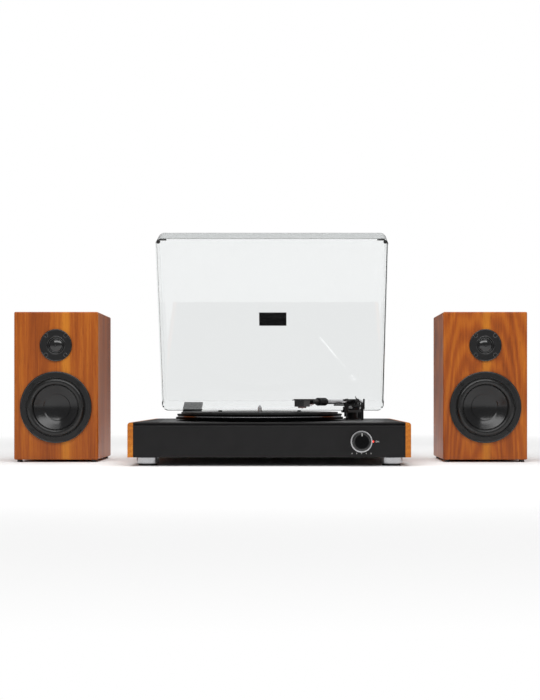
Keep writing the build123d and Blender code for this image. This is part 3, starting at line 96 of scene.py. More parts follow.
def ramp_stops(node: bpy.types.Node, stops: Sequence[tuple[float, Sequence[float]]]) -> None:
    """Set a colour ramp's stops.

    Args:
        node: The colour ramp.
        stops: Place and linear colour of each stop, in order.
    """
    elements = node.color_ramp.elements
    while len(elements) < len(stops):
        elements.new(0.5)
    for element, (place, colour) in zip(elements, stops):
        element.position = place
        element.color = colour


@dataclass(frozen=True)
class Finish:
    """A surface finish that makes one material, shared by every piece that wears it."""

    name: str

    def material(self) -> bpy.types.Material:
        """Return the finish's material, made on first use."""
        found = bpy.data.materials.get(self.name)
        if found:
            return found
        material = bpy.data.materials.new(self.name)
        material.use_nodes = True
        tree = material.node_tree
        tree.nodes.clear()
        shader = add_node(tree, "ShaderNodeBsdfPrincipled")
        add_node(tree, "ShaderNodeOutputMaterial", {"Surface": shader.outputs[0]})
        self.dress(tree, shader)
        return material

    def dress(self, tree: bpy.types.NodeTree, shader: bpy.types.Node) -> None:
        """Fill in the shader. Each finish has its own way.

        Args:
            tree: The material's node tree.
            shader: Its Principled shader.
        """
        raise NotImplementedError

    @staticmethod
    def places(tree: bpy.types.NodeTree, scale: Point = (1, 1, 1)) -> bpy.types.NodeSocket:
        """Object coordinates in metres, scaled.

        Args:
            tree: Node tree to add to.
            scale: Factor along each axis.

        Returns:
            The vector output.
        """
        coords = add_node(tree, "ShaderNodeTexCoord")
        scaled = add_node(tree, "ShaderNodeVectorMath", {0: coords.outputs["Object"], 1: scale},
                          operation="MULTIPLY")
        return scaled.outputs[0]

    @staticmethod
    def wander(tree: bpy.types.NodeTree, vector: bpy.types.NodeSocket, scale: float, low: float,
               high: float, detail: float = 4.0) -> bpy.types.NodeSocket:
        """A noise stretched to run between two values.

        Args:
            tree: Node tree to add to.
            vector: Coordinates to read the noise at.
            scale: Noise scale.
            low: Value where the noise is dark.
            high: Value where the noise is light.
            detail: Noise detail.

        Returns:
            The value output.
        """
        noise = add_node(tree, "ShaderNodeTexNoise", {"Vector": vector, "Scale": scale, "Detail": detail})
        spread = add_node(tree, "ShaderNodeMapRange", {
            "Value": noise.outputs["Fac"], "From Min": 0.3, "From Max": 0.7, "To Min": low, "To Max": high})
        return spread.outputs[0]

    @staticmethod
    def blend_colours(tree: bpy.types.NodeTree, factor: Value, first: Value, second: Value,
                      blend: str = "MIX") -> bpy.types.NodeSocket:
        """Mix two colours.

        Args:
            tree: Node tree to add to.
            factor: Share of the second colour.
            first: Colour at factor 0.
            second: Colour at factor 1.
            blend: Blender's blend type.

        Returns:
            The colour output.
        """
        mix = add_node(tree, "ShaderNodeMix", {0: factor, 6: first, 7: second}, data_type="RGBA",
                       blend_type=blend)
        return mix.outputs[2]

    @staticmethod
    def bump(tree: bpy.types.NodeTree, shader: bpy.types.Node, height: bpy.types.NodeSocket,
             depth_mm: float, strength: float = 1.0) -> None:
        """Give the shader a relief.

        Args:
            tree: The material's node tree.
            shader: Its Principled shader.
            height: Height from 0 to 1.
            depth_mm: Real depth of the relief.
            strength: Share of the relief that shows.
        """
        node = add_node(tree, "ShaderNodeBump", {
            "Height": height, "Strength": strength, "Distance": depth_mm * MM})
        tree.links.new(node.outputs[0], shader.inputs["Normal"])


@dataclass(frozen=True)
class Veneer(Finish):
    """Cherry veneer, flat-cut and clear lacquered.

    To the eye: warm orange-brown, nearly even in tone, with soft bands along the board, a pale
    streak where two leaves meet, fine dark pores, and a white sheen at a low angle.
    """

    dark: str = "#7f3a0a"
    middle: str = "#9d4e0d"
    light: str = "#b26415"
    streak: str = "#cb801e"
    streak_x: float = 0.0
    heart_x: float = 0.0
    heart_z: float = 0.0
    heart_depth: float = 0.02
    rise: float = 0.16
    ring_mm: float = 9.0
    figure: float = 0.35
    along: str = "Z"
    rough: float = 0.36

    def rings(self, tree: bpy.types.NodeTree, across: bpy.types.NodeSocket, length: bpy.types.NodeSocket,
              slow: bpy.types.NodeSocket) -> bpy.types.NodeSocket:
        """Growth rings where the board's face cuts the log.

        Args:
            tree: The material's node tree.
            across: Place across the board.
            length: Place along the board.
            slow: Coordinates for slow changes.

        Returns:
            Tone of the ring, from 0 to 1.
        """
        def maths(kind: str, first: Value, second: Value = 0.0) -> bpy.types.NodeSocket:
            return add_node(tree, "ShaderNodeMath", {0: first, 1: second}, operation=kind).outputs[0]

        sway = self.wander(tree, slow, 1.0, -0.008, 0.008, 2.0)
        x = maths("ADD", maths("ADD", across, -self.heart_x), sway)
        z = maths("MULTIPLY", maths("ADD", length, -self.heart_z), self.rise)
        y = maths("ADD", z, self.heart_depth)
        place = add_node(tree, "ShaderNodeCombineXYZ", {0: x, 1: y, 2: 0.0})
        radius = add_node(tree, "ShaderNodeVectorMath", {0: place.outputs[0]}, operation="LENGTH")
        turns = maths("MULTIPLY", radius.outputs["Value"], per_metre(self.ring_mm))
        turns = maths("ADD", turns, self.wander(tree, slow, 2.3, -0.5, 0.5, 3.0))
        wave = maths("SINE", maths("MULTIPLY", turns, 2 * math.pi))
        tone = add_node(tree, "ShaderNodeMapRange", {"Value": wave, "From Min": -1.0, "From Max": 1.0})
        return tone.outputs[0]

    def dress(self, tree: bpy.types.NodeTree, shader: bpy.types.Node) -> None:
        """Rings, fibres, a pale streak, pores and lacquer."""
        coords = add_node(tree, "ShaderNodeTexCoord")
        parts = add_node(tree, "ShaderNodeSeparateXYZ", {0: coords.outputs["Object"]})
        across, deep, length = parts.outputs[0], parts.outputs[1], parts.outputs[2]
        if self.along == "Y":
            across, deep, length = parts.outputs[2], parts.outputs[0], parts.outputs[1]
        board = add_node(tree, "ShaderNodeCombineXYZ", {0: across, 1: deep, 2: length}).outputs[0]
        slow = add_node(tree, "ShaderNodeVectorMath", {0: board, 1: (16.0, 16.0, 1.2)}, operation="MULTIPLY")
        ring = self.rings(tree, across, length, slow.outputs[0])
        fibre_places = add_node(tree, "ShaderNodeVectorMath", {0: board, 1: (
            per_metre(1.6), per_metre(1.6), per_metre(70.0))}, operation="MULTIPLY")
        fibre = self.wander(tree, fibre_places.outputs[0], 1.0, 0.0, 1.0, 3.0)
        plank = self.wander(tree, slow.outputs[0], 1.7, 0.0, 1.0, 1.0)
        tone = add_node(tree, "ShaderNodeMix", {0: self.figure, 2: fibre, 3: ring})
        tone = add_node(tree, "ShaderNodeMix", {0: 0.45, 2: tone.outputs[0], 3: plank})
        ramp = add_node(tree, "ShaderNodeValToRGB", {0: tone.outputs[0]})
        ramp_stops(ramp, [(0.12, linear(self.dark)), (0.5, linear(self.middle)), (0.88, linear(self.light))])
        beside = add_node(tree, "ShaderNodeMath", {0: across, 1: -self.streak_x}, operation="ADD")
        near = add_node(tree, "ShaderNodeMath", {0: beside.outputs[0]}, operation="ABSOLUTE")
        pale = add_node(tree, "ShaderNodeMapRange", {
            "Value": near.outputs[0], "From Min": 0.004, "From Max": 0.009, "To Min": 0.55, "To Max": 0.0})
        lit = self.blend_colours(tree, pale.outputs[0], ramp.outputs[0], linear(self.streak))
        pore_places = add_node(tree, "ShaderNodeVectorMath", {0: board, 1: (
            per_metre(0.9), per_metre(0.9), per_metre(14.0))}, operation="MULTIPLY")
        pores = add_node(tree, "ShaderNodeTexNoise", {
            "Vector": pore_places.outputs[0], "Scale": 1.0, "Detail": 2.0})
        pore = add_node(tree, "ShaderNodeMapRange", {
            "Value": pores.outputs["Fac"], "From Min": 0.58, "From Max": 0.70, "To Min": 0.0, "To Max": 0.3})
        colour = self.blend_colours(tree, pore.outputs[0], lit, linear("#5f2606"))
        tree.links.new(colour, shader.inputs["Base Color"])
        gloss = add_node(tree, "ShaderNodeMapRange", {
            "Value": fibre, "To Min": self.rough - 0.05, "To Max": self.rough + 0.08})
        tree.links.new(gloss.outputs[0], shader.inputs["Roughness"])
        shader.inputs["Specular IOR Level"].default_value = 0.3
        shader.inputs["Coat Weight"].default_value = 0.1
        shader.inputs["Coat Roughness"].default_value = 0.24
        self.bump(tree, shader, fibre, 0.04, 0.5)


@dataclass(frozen=True)
class Moulded(Finish):
    """ABS, moulded and left as it came from the tool, or painted over.

    To the eye: near-black with a faint cloudiness, and a fine orange-peel that breaks highlights.
    """

    colour: str = "#161617"
    lighter: str = "#1c1c1d"
    rough: float = 0.42
    grit_mm: float = 0.7
    relief_mm: float = 0.02
    coat: float = 0.0
    shine: float = 0.5

    def dress(self, tree: bpy.types.NodeTree, shader: bpy.types.Node) -> None:
        """Cloudy colour and roughness over a fine peel."""
        places = self.places(tree)
        cloud = self.wander(tree, places, per_metre(24.0), 0.0, 1.0)
        peel = self.wander(tree, places, per_metre(self.grit_mm), 0.0, 1.0, 2.0)
        colour = self.blend_colours(tree, cloud, linear(self.colour), linear(self.lighter))
        tree.links.new(colour, shader.inputs["Base Color"])
        gloss = add_node(tree, "ShaderNodeMapRange", {
            "Value": peel, "To Min": self.rough - 0.04, "To Max": self.rough + 0.04})
        tree.links.new(gloss.outputs[0], shader.inputs["Roughness"])
        shader.inputs["Specular IOR Level"].default_value = self.shine
        shader.inputs["Coat Weight"].default_value = self.coat
        shader.inputs["Coat Roughness"].default_value = 0.06
        self.bump(tree, shader, peel, self.relief_mm, 0.5)


@dataclass(frozen=True)
class Rubber(Finish):
    """Nitrile rubber, moulded.

    To the eye: dead black with a soft, wide highlight and a trace of grey bloom.
    """

    colour: str = "#121212"
    bloom: str = "#1d1d1c"
    rough: float = 0.55

    def dress(self, tree: bpy.types.NodeTree, shader: bpy.types.Node) -> None:
        """Blotchy bloom over black, with a weak specular."""
        places = self.places(tree)
        blotch = self.wander(tree, places, per_metre(11.0), 0.0, 1.0)
        colour = self.blend_colours(tree, blotch, linear(self.colour), linear(self.bloom))
        tree.links.new(colour, shader.inputs["Base Color"])
        gloss = add_node(tree, "ShaderNodeMapRange", {
            "Value": blotch, "To Min": self.rough - 0.06, "To Max": self.rough + 0.06})
        tree.links.new(gloss.outputs[0], shader.inputs["Roughness"])
        grain = self.wander(tree, places, per_metre(0.9), 0.0, 1.0, 2.0)
        self.bump(tree, shader, grain, 0.03, 0.4)


class Lay(Enum):
    """Direction in which a metal's tool marks run."""

    POLISHED = "polished"
    ALONG_Z = "rings stacked along Z"
    ALONG_Y = "rings stacked along Y"


@dataclass(frozen=True)
class Metal(Finish):
    """Steel or aluminium, turned, brushed or plated.

    To the eye: bright and neutral, with fine turning lines that stretch the highlight.
    """

    colour: str = "#c9c9cb"
    rough: float = 0.16
    lay: Lay = Lay.POLISHED
    line_mm: float = 0.5
    relief_mm: float = 0.006

    def dress(self, tree: bpy.types.NodeTree, shader: bpy.types.Node) -> None:
        """Metal with lines drawn coarse enough to show, because real ones are finer than a pixel."""
        fine, slow = per_metre(self.line_mm), per_metre(30.0)
        scale = {Lay.POLISHED: (fine, fine, fine), Lay.ALONG_Z: (slow, slow, fine),
                 Lay.ALONG_Y: (slow, fine * 0.15, slow)}[self.lay]
        places = self.places(tree, scale)
        lines = self.wander(tree, places, 1.0, 0.0, 1.0, 3.0)
        tint = linear(self.colour)
        shade = tuple(c * 0.82 for c in tint[:3]) + (1.0,)
        tree.links.new(self.blend_colours(tree, lines, shade, tint), shader.inputs["Base Color"])
        gloss = add_node(tree, "ShaderNodeMapRange", {
            "Value": lines, "To Min": max(self.rough - 0.04, 0.02), "To Max": self.rough + 0.05})
        tree.links.new(gloss.outputs[0], shader.inputs["Roughness"])
        shader.inputs["Metallic"].default_value = 1.0
        self.bump(tree, shader, lines, self.relief_mm, 0.5)


@dataclass(frozen=True)
class Acrylic(Finish):
    """Clear acrylic sheet, thermoformed and polished.

    To the eye: almost nothing face on, pale grey where the light passes through a long edge.
    """

    tint: str = "#eef0f0"
    rough: float = 0.015

    def dress(self, tree: bpy.types.NodeTree, shader: bpy.types.Node) -> None:
        """Transmission with the faintest haze."""
        places = self.places(tree)
        haze = self.wander(tree, places, per_metre(90.0), 0.0, 1.0, 2.0)
        gloss = add_node(tree, "ShaderNodeMapRange", {
            "Value": haze, "To Min": self.rough * 0.4, "To Max": self.rough})
        tree.links.new(gloss.outputs[0], shader.inputs["Roughness"])
        shader.inputs["Base Color"].default_value = linear(self.tint)
        shader.inputs["Transmission Weight"].default_value = 1.0
        shader.inputs["IOR"].default_value = 1.49


@dataclass(frozen=True)
class Lens(Finish):
    """Tinted acrylic lens over a lit lamp.

    To the eye: a small saturated point of light, brighter in the middle.
    """

    colour: str = "#d8160c"
    glow: float = 2.4

    def dress(self, tree: bpy.types.NodeTree, shader: bpy.types.Node) -> None:
        """Colour that lights itself, with a mottled density."""
        mottle = self.wander(tree, self.places(tree), per_metre(0.8), 0.0, 1.0)
        colour = self.blend_colours(tree, mottle, linear(self.colour), linear("#ff3a24"))
        tree.links.new(colour, shader.inputs["Base Color"])
        tree.links.new(colour, shader.inputs["Emission Color"])
        shader.inputs["Emission Strength"].default_value = self.glow
        shader.inputs["Roughness"].default_value = 0.2


@dataclass(frozen=True)
class LeadPaint(Finish):
    """Coloured insulation of the four cartridge leads, told apart by their place across the arm.

    To the eye: four thin strands, red, green, blue and white, slightly waxy.
    """

    across: Point = (-0.9018, 0.4321, 0.0)
    low: float = -0.0925
    high: float = -0.0842

    def dress(self, tree: bpy.types.NodeTree, shader: bpy.types.Node) -> None:
        """One colour to each lead, with a faint unevenness."""
        coords = add_node(tree, "ShaderNodeTexCoord")
        beside = add_node(tree, "ShaderNodeVectorMath", {0: coords.outputs["Object"], 1: self.across},
                          operation="DOT_PRODUCT")
        place = add_node(tree, "ShaderNodeMapRange", {
            "Value": beside.outputs["Value"], "From Min": self.low, "From Max": self.high})
        ramp = add_node(tree, "ShaderNodeValToRGB", {0: place.outputs[0]})
        ramp.color_ramp.interpolation = "CONSTANT"
        ramp_stops(ramp, [(0.0, linear("#9a2a22")), (0.28, linear("#2c6a3a")), (0.5, linear("#2b4d8c")),
                          (0.74, linear("#c9c8c2"))])
        waxy = self.wander(tree, self.places(tree), per_metre(1.5), 0.3, 0.5)
        tree.links.new(ramp.outputs[0], shader.inputs["Base Color"])
        tree.links.new(waxy, shader.inputs["Roughness"])


@dataclass
class Studio:
    """White sweep, soft lamps and the camera of a straight-on product picture."""

    eye: Point = (0.0385, -2.035, 0.1106)
    lens_mm: float = 58.7
    picture: tuple[int, int] = (540, 700)
    vanishing_px: tuple[float, float] = (293.0, 398.0)
    floor_half: float = 6.0
    floor_colour: str = "#f1f1f1"
    floor_near: float = 0.75
    floor_far: float = 1.5
    diffuse_level: float = 0.66
    glossy_level: float = 0.26
    key_power: float = 6.0
    top_power: float = 12.0

    def camera(self) -> bpy.types.Object:
        """Set the camera square to the front, shifted so that the verticals stay parallel.

        Returns:
            The camera object.
        """
        wide, high = self.picture
        data = bpy.data.cameras.new("studio_camera")
        data.lens = self.lens_mm
        data.sensor_width = 36.0
        data.shift_x = (wide / 2 - self.vanishing_px[0]) / high
        data.shift_y = (self.vanishing_px[1] - high / 2) / high
        data.clip_end = 30.0
        camera = bpy.data.objects.new("studio_camera", data)
        camera.location = self.eye
        camera.rotation_euler = (math.radians(90), 0, 0)
        bpy.context.collection.objects.link(camera)
        bpy.context.scene.camera = camera
        return camera

    @staticmethod
    def seen_rays(tree: bpy.types.NodeTree) -> bpy.types.NodeSocket:
        """A value of 1 for rays that see the background directly or through glass."""
        path = add_node(tree, "ShaderNodeLightPath")
        seen = add_node(tree, "ShaderNodeMath", {
            0: path.outputs["Is Camera Ray"], 1: path.outputs["Is Transmission Ray"]}, operation="MAXIMUM")
        return seen.outputs[0]

    def world(self) -> None:
        """Even surroundings, pure white where they are seen and calmer in reflections."""
        world = bpy.data.worlds.new("studio_world")
        world.use_nodes = True
        tree = world.node_tree
        tree.nodes.clear()
        path = add_node(tree, "ShaderNodeLightPath")
        plain = add_node(tree, "ShaderNodeMapRange", {
            "Value": path.outputs["Is Glossy Ray"], "To Min": self.diffuse_level,
            "To Max": self.glossy_level})
        level = add_node(tree, "ShaderNodeMapRange", {
            "Value": self.seen_rays(tree), "To Min": plain.outputs[0], "To Max": 1.0})
        sky = add_node(tree, "ShaderNodeBackground", {"Color": (1, 1, 1, 1), "Strength": level.outputs[0]})
        add_node(tree, "ShaderNodeOutputWorld", {"Surface": sky.outputs[0]})
        bpy.context.scene.world = world

    def floor(self) -> bpy.types.Object:
        """Wide matt sheet that keeps the object's shadow and is otherwise white.

        Returns:
            The floor object.
        """
        mesh = bpy.data.meshes.new("studio_floor")
        half = self.floor_half
        corners = [(-half, -half, 0), (half, -half, 0), (half, half, 0), (-half, half, 0)]
        mesh.from_pydata(corners, [], [(0, 1, 2, 3)])
        floor = bpy.data.objects.new("studio_floor", mesh)
        bpy.context.collection.objects.link(floor)
        material = bpy.data.materials.new("matt_white_sheet")
        material.use_nodes = True
        tree = material.node_tree
        tree.nodes.clear()
        matt = add_node(tree, "ShaderNodeBsdfDiffuse", {"Color": linear(self.floor_colour)})
        white = add_node(tree, "ShaderNodeEmission", {"Strength": 1.0})
        coords = add_node(tree, "ShaderNodeTexCoord")
        away = add_node(tree, "ShaderNodeVectorMath", {0: coords.outputs["Object"]}, operation="LENGTH")
        far = add_node(tree, "ShaderNodeMapRange", {
            "Value": away.outputs["Value"], "From Min": self.floor_near, "From Max": self.floor_far})
        share = add_node(tree, "ShaderNodeMath", {0: far.outputs[0], 1: self.seen_rays(tree)},
                         operation="MULTIPLY")
        both = add_node(tree, "ShaderNodeMixShader", {
            0: share.outputs[0], 1: matt.outputs[0], 2: white.outputs[0]})
        add_node(tree, "ShaderNodeOutputMaterial", {"Surface": both.outputs[0]})
        mesh.materials.append(material)
        return floor

    def lamp(self, name: str, place: Point, aim: Point, size: tuple[float, float],
             power: float) -> bpy.types.Object:
        """Hang an oblong soft lamp.

        Args:
            name: Name of the lamp.
            place: Where it hangs.
            aim: Point that it faces.
            size: Width and depth.
            power: Watts.

        Returns:
            The lamp object.
        """
        data = bpy.data.lights.new(name, "AREA")
        data.shape = "RECTANGLE"
        data.size, data.size_y = size
        data.energy = power
        lamp = bpy.data.objects.new(name, data)
        lamp.location = place
        lamp.rotation_euler = (Vector(aim) - Vector(place)).to_track_quat("-Z", "Y").to_euler()
        lamp.visible_camera = False
        bpy.context.collection.objects.link(lamp)
        return lamp

    def build(self) -> None:
        """Make the camera, the surroundings and the lamps."""
        view = bpy.context.scene.view_settings
        view.view_transform = "Standard"
        self.camera()
        self.world()
        self.floor()
        self.lamp("top_softbox", (0.0, 0.1, 1.9), (0, 0.0, 0.1), (2.0, 1.6), self.top_power)
        strip = self.lamp("strip_softbox", (0.0, -0.62, 0.85), (0, -0.06, 0.14), (1.5, 0.32), self.key_power)
        strip.visible_transmission = False


def dress(finish: Finish, *nodes: str) -> None:
    """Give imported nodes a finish.

    Args:
        finish: The finish that they wear.
        *nodes: Names of the nodes.
    """
    for name in nodes:
        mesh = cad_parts[name].data
        mesh.materials.clear()
        mesh.materials.append(finish.material())
        LOG.info("%s wears %s", name, finish.name)


def add_piece(name: str, mesh: bpy.types.Mesh, finish: Finish, body: str,
              sharp_degrees: float = 32.0) -> bpy.types.Object:
    """Put a new mesh in the scene, dressed and riding on a body.

    Args:
        name: Name of the piece.
        mesh: Its mesh, already in place.
        finish: The finish that it wears.
        body: Body that carries it.
        sharp_degrees: Edges bent more than this stay crisp.

    Returns:
        The new object.
    """
    mesh.materials.clear()
    mesh.materials.append(finish.material())
    mesh.polygons.foreach_set("use_smooth", [True] * len(mesh.polygons))
    mesh.set_sharp_from_angle(angle=math.radians(sharp_degrees))
    piece = bpy.data.objects.new(name, mesh)
    bpy.context.collection.objects.link(piece)
    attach(piece, body)
    return piece


def lathe(name: str, outline: Sequence[Sequence[float]], centre: Point, forward: bool = False,
          steps: int = 96, teeth: int = 0, tooth_mm: float = 0.0) -> bpy.types.Mesh:
    """Turn a closed outline about an upright axis, or about one that points forward.

    Args:
        name: Name of the mesh.
        outline: Radius and height of each point in millimetres; a third value of 1 gives it teeth.
        centre: Where the axis meets height zero, in metres.
        forward: Heights run towards the viewer instead of up.
        steps: Facets round the axis when there are no teeth.
        teeth: Number of teeth round the rim.
        tooth_mm: Depth of a tooth.

    Returns:
        The closed mesh.
    """
    around = teeth * 4 if teeth else steps
    shape = bmesh.new()
    rings = []
    for index in range(around):
        angle = 2 * math.pi * index / around
        sunk = tooth_mm if index % 4 in (2, 3) else 0.0
        ring = []
        for radius, height, *toothed in outline:
            r = (radius - (sunk if toothed else 0.0)) * MM
            x, y, z = r * math.cos(angle), r * math.sin(angle), height * MM
            ring.append(shape.verts.new((centre[0] + x, centre[1] - z, centre[2] + y) if forward
                                        else (centre[0] + x, centre[1] + y, centre[2] + z)))
        rings.append(ring)
    for ring, following in zip(rings, rings[1:] + rings[:1]):
        for low in range(len(outline)):
            high = (low + 1) % len(outline)
            if outline[low][0] or outline[high][0]:
                shape.faces.new((ring[low], following[low], following[high], ring[high]))
    bmesh.ops.remove_doubles(shape, verts=shape.verts, dist=1e-7)
    bmesh.ops.recalc_face_normals(shape, faces=shape.faces)
    mesh = bpy.data.meshes.new(name)
    shape.to_mesh(mesh)
    shape.free()
    return mesh


def slab(name: str, low: Point, high: Point, bevel: float = 0.0) -> bpy.types.Mesh:
    """An upright block with softened edges.

    Args:
        name: Name of the mesh.
        low: Lowest corner in metres.
        high: Highest corner in metres.
        bevel: Width of the softened edge in metres.

    Returns:
        The mesh.
    """
    shape = bmesh.new()
    bmesh.ops.create_cube(shape, size=1.0)
    middle = [(a + b) / 2 for a, b in zip(low, high)]
    sizes = [b - a for a, b in zip(low, high)]
    for vert in shape.verts:
        vert.co = Vector([m + c * s for m, c, s in zip(middle, vert.co, sizes)])
    if bevel:
        bmesh.ops.bevel(shape, geom=shape.edges[:], offset=bevel, segments=2, profile=0.7, affect="EDGES")
    mesh = bpy.data.meshes.new(name)
    shape.to_mesh(mesh)
    shape.free()
    return mesh


def lettering(name: str, text: str, height_mm: float, place: Point,
              turn_degrees: float = 0.0) -> bpy.types.Mesh:
    """Printed characters as a thin raised mesh that faces forward.

    Args:
        name: Name of the mesh.
        text: The characters.
        height_mm: Height of the characters.
        place: Left end of the line's foot, in metres.
        turn_degrees: Turn about the upright axis, 180 for a label read from behind.

    Returns:
        The mesh, in place.
    """
    curve = bpy.data.curves.new(name, "FONT")
    curve.body = text
    curve.size = height_mm * MM * 1.4
    curve.extrude = 0.03 * MM
    carrier = bpy.data.objects.new(name, curve)
    mesh = bpy.data.meshes.new_from_object(carrier)
    bpy.data.objects.remove(carrier)
    bpy.data.curves.remove(curve)
    upright = Matrix.Rotation(math.radians(turn_degrees), 4, "Z") @ Matrix.Rotation(math.radians(90), 4, "X")
    mesh.transform(Matrix.Translation(Vector(place)) @ upright)
    return mesh


def block(name: str, low: Point, high: Point, finish: Finish, body: str,
          bevel_mm: float = 0.1) -> bpy.types.Object:
    """A small block measured in millimetres.

    Args:
        name: Name of the piece.
        low: Lowest corner.
        high: Highest corner.
        finish: The finish that it wears.
        body: Body that carries it.
        bevel_mm: Width of its softened edges.

    Returns:
        The new object.
    """
    mesh = slab(name, [v * MM for v in low], [v * MM for v in high], bevel_mm * MM)
    return add_piece(name, mesh, finish, body)


# Finishes worn by more than one piece
BLACK_ABS = Moulded("black_abs_satin", colour="#0f0f10", lighter="#151516", shine=0.4)
GLOSS_ABS = Moulded("black_abs_polished", colour="#0b0b0c", lighter="#101011", rough=0.14, relief_mm=0.002,
                    coat=0.5)
CASE_PAINT = Moulded("charcoal_powder_coat", colour="#0f0e0f", lighter="#141314", rough=0.42, grit_mm=1.0,
                     relief_mm=0.03, shine=0.3)
BLACK_STEEL = Moulded("black_enamelled_steel", colour="#0c0c0d", lighter="#111112", rough=0.34, grit_mm=1.6)
NITRILE = Rubber("nitrile_rubber")
CHROME = Metal("chromed_steel", colour="#dcdcde", rough=0.07)
TURNED = Metal("turned_aluminium", colour="#c4c4c6", rough=0.2, lay=Lay.ALONG_Z)
SPUN = Metal("spun_aluminium", colour="#d2d2d4", rough=0.18, lay=Lay.ALONG_Y)
PLATTER_BLACK = Metal("black_anodised_casting", colour="#101011", rough=0.34, lay=Lay.ALONG_Z, line_mm=0.9)
DARK_SPUN = Metal("black_spun_aluminium", colour="#1b1b1c", rough=0.28)
RED_ABS = Moulded("red_abs_satin", colour="#8e1712", lighter="#a01d16", rough=0.35)
WHITE_INK = Moulded("white_pad_print", colour="#c9c9c6", lighter="#dededb", rough=0.5, grit_mm=0.4)


@dataclass
class Case:
    """Deck case: cheeks, panels, feet and everything inside it."""

    rear_y: float = 0.169975
    socket_z: float = 0.042
    cup_y: float = 0.058475
    cup_z: float = 0.060
    phono_x: tuple[float, float] = (40.0, 59.0)
    deck_terminals_x: tuple[float, ...] = (-90.0, -71.0, -30.0, -11.0)
    speaker_terminals_x: tuple[float, ...] = (-379.5, -360.5, 360.5, 379.5)
    cheek_veneer: Veneer = field(default_factory=lambda: Veneer(
        "cherry_veneer_cheeks", dark="#a35812", middle="#bd6f19", light="#d58c2a", along="Y", heart_x=0.16,
        heart_depth=0.05, rise=0.03, ring_mm=9.0, streak_x=0.5))

    def build(self) -> None:
        """Dress the case."""
        dress(self.cheek_veneer, "side_cheeks")
        dress(CASE_PAINT, "front_panel", "top_plate")
        dress(BLACK_STEEL, "bottom_cover", "rear_panel", "cover_screws")
        dress(TURNED, "foot_shells", "bearing_housing", "motor", "motor_pulley", "volume_control")
        dress(NITRILE, "foot_pads", "drive_belt")
        dress(BLACK_ABS, "power_inlet", "speed_switch", "amplifier_board")
        dress(GLOSS_ABS, "speed_slider")
        dress(CHROME, "phono_sockets", "banana_sockets")
        for name, x, finish in (("right", self.phono_x[0], RED_ABS), ("left", self.phono_x[1], WHITE_INK)):
            place = (x * MM, self.rear_y, self.socket_z)
            outline = [(4.3, -1.4), (4.3, -2.6), (5.6, -2.6), (6.0, -1.4)]
            collar = lathe(f"{name}_phono_collar", outline, place, True)
            add_piece(f"{name}_phono_collar", collar, finish, "case")
            letter = lettering(f"{name}_phono_letter", name[0].upper(), 4.0,
                               (place[0] + 0.0013, self.rear_y + 0.03 * MM, self.socket_z + 0.009), 180.0)
            add_piece(f"{name}_phono_letter", letter, WHITE_INK, "case")
        for index, x in enumerate(self.deck_terminals_x):
            self.terminal(f"deck_terminal_{index + 1}", (x * MM, self.rear_y, self.socket_z), index % 2)
        for index, x in enumerate(self.speaker_terminals_x):
            self.terminal(f"speaker_terminal_{index + 1}", (x * MM, self.cup_y, self.cup_z), index % 2)
        dress(Moulded("fibreboard", colour="#6b4a2c", lighter="#7b5836", rough=0.7), "plinth_frame")

    @staticmethod
    def terminal(name: str, place: Point, positive: int) -> None:
        """Coloured collar round a speaker socket at the rear.

        Args:
            name: Name of the piece.
            place: Middle of the socket on its panel.
            positive: 1 for red, 0 for black.
        """
        outline = [(4.4, -1.9), (4.4, -3.2), (5.2, -3.6), (6.2, -3.2), (6.4, -1.9)]
        collar = lathe(name, outline, place, True, steps=48)
        add_piece(name, collar, RED_ABS if positive else BLACK_ABS, "case")


@dataclass
class PlatterSet:
    """Platter, mat, plugs and spindle."""

    centre_x: float = -0.0205
    centre_y: float = -0.010025
    ridges: int = 12
    first_ridge: float = 54.0
    ridge_pitch: float = 6.7

    def build(self) -> None:
        """Dress the platter."""
        dress(PLATTER_BLACK, "platter")
        dress(NITRILE, "platter_mat", "platter_plugs")
        dress(CHROME, "spindle")
        centre = (self.centre_x, self.centre_y, 0.0)
        ribs = lathe("platter_ribs", [(143.0, 79.9), (145.6, 80.0, 1), (145.6, 82.7, 1), (143.0, 82.8)],
                     centre, teeth=260, tooth_mm=0.8)
        add_piece("platter_ribs", ribs, PLATTER_BLACK, "platter")
        foot = lathe("platter_foot_ribs", [(146.0, 74.0), (147.8, 74.1, 1), (147.8, 77.2, 1), (146.0, 77.3)],
                     centre, teeth=260, tooth_mm=0.8)
        add_piece("platter_foot_ribs", foot, PLATTER_BLACK, "platter")
        outline = [(142.5, 77.8), (144.2, 77.9), (144.4, 78.6), (144.2, 79.3), (142.5, 79.4)]
        band = lathe("platter_bright_band", outline, centre, steps=160)
        add_piece("platter_bright_band", band, TURNED, "platter")
        for index in range(self.ridges):
            radius = self.first_ridge + index * self.ridge_pitch
            outline = [(radius, 85.9), (radius + 0.5, 86.3), (radius + 1.3, 86.3), (radius + 1.8, 85.9)]
            name = f"mat_ridge_{index + 1}"
            add_piece(name, lathe(name, outline, centre, steps=128), NITRILE, "platter")


@dataclass
class Tonearm:
    """Arm, its base, lift, lever and rest."""

    def build(self) -> None:
        """Dress the arm."""
        dress(BLACK_ABS, "arm_base", "arm_yoke", "gimbal_block", "arm_collar", "headshell", "cue_platform",
              "cue_lever", "arm_rest")
        dress(LeadPaint("lead_insulation"), "cartridge_leads")
        dress(GLOSS_ABS, "cartridge", "arm_clip")
        dress(CHROME, "arm_tube")
        dress(SPUN, "counterweight")
        dress(Moulded("pale_red_nylon", colour="#9c7c7b", lighter="#ab8a87", rough=0.35), "stylus")


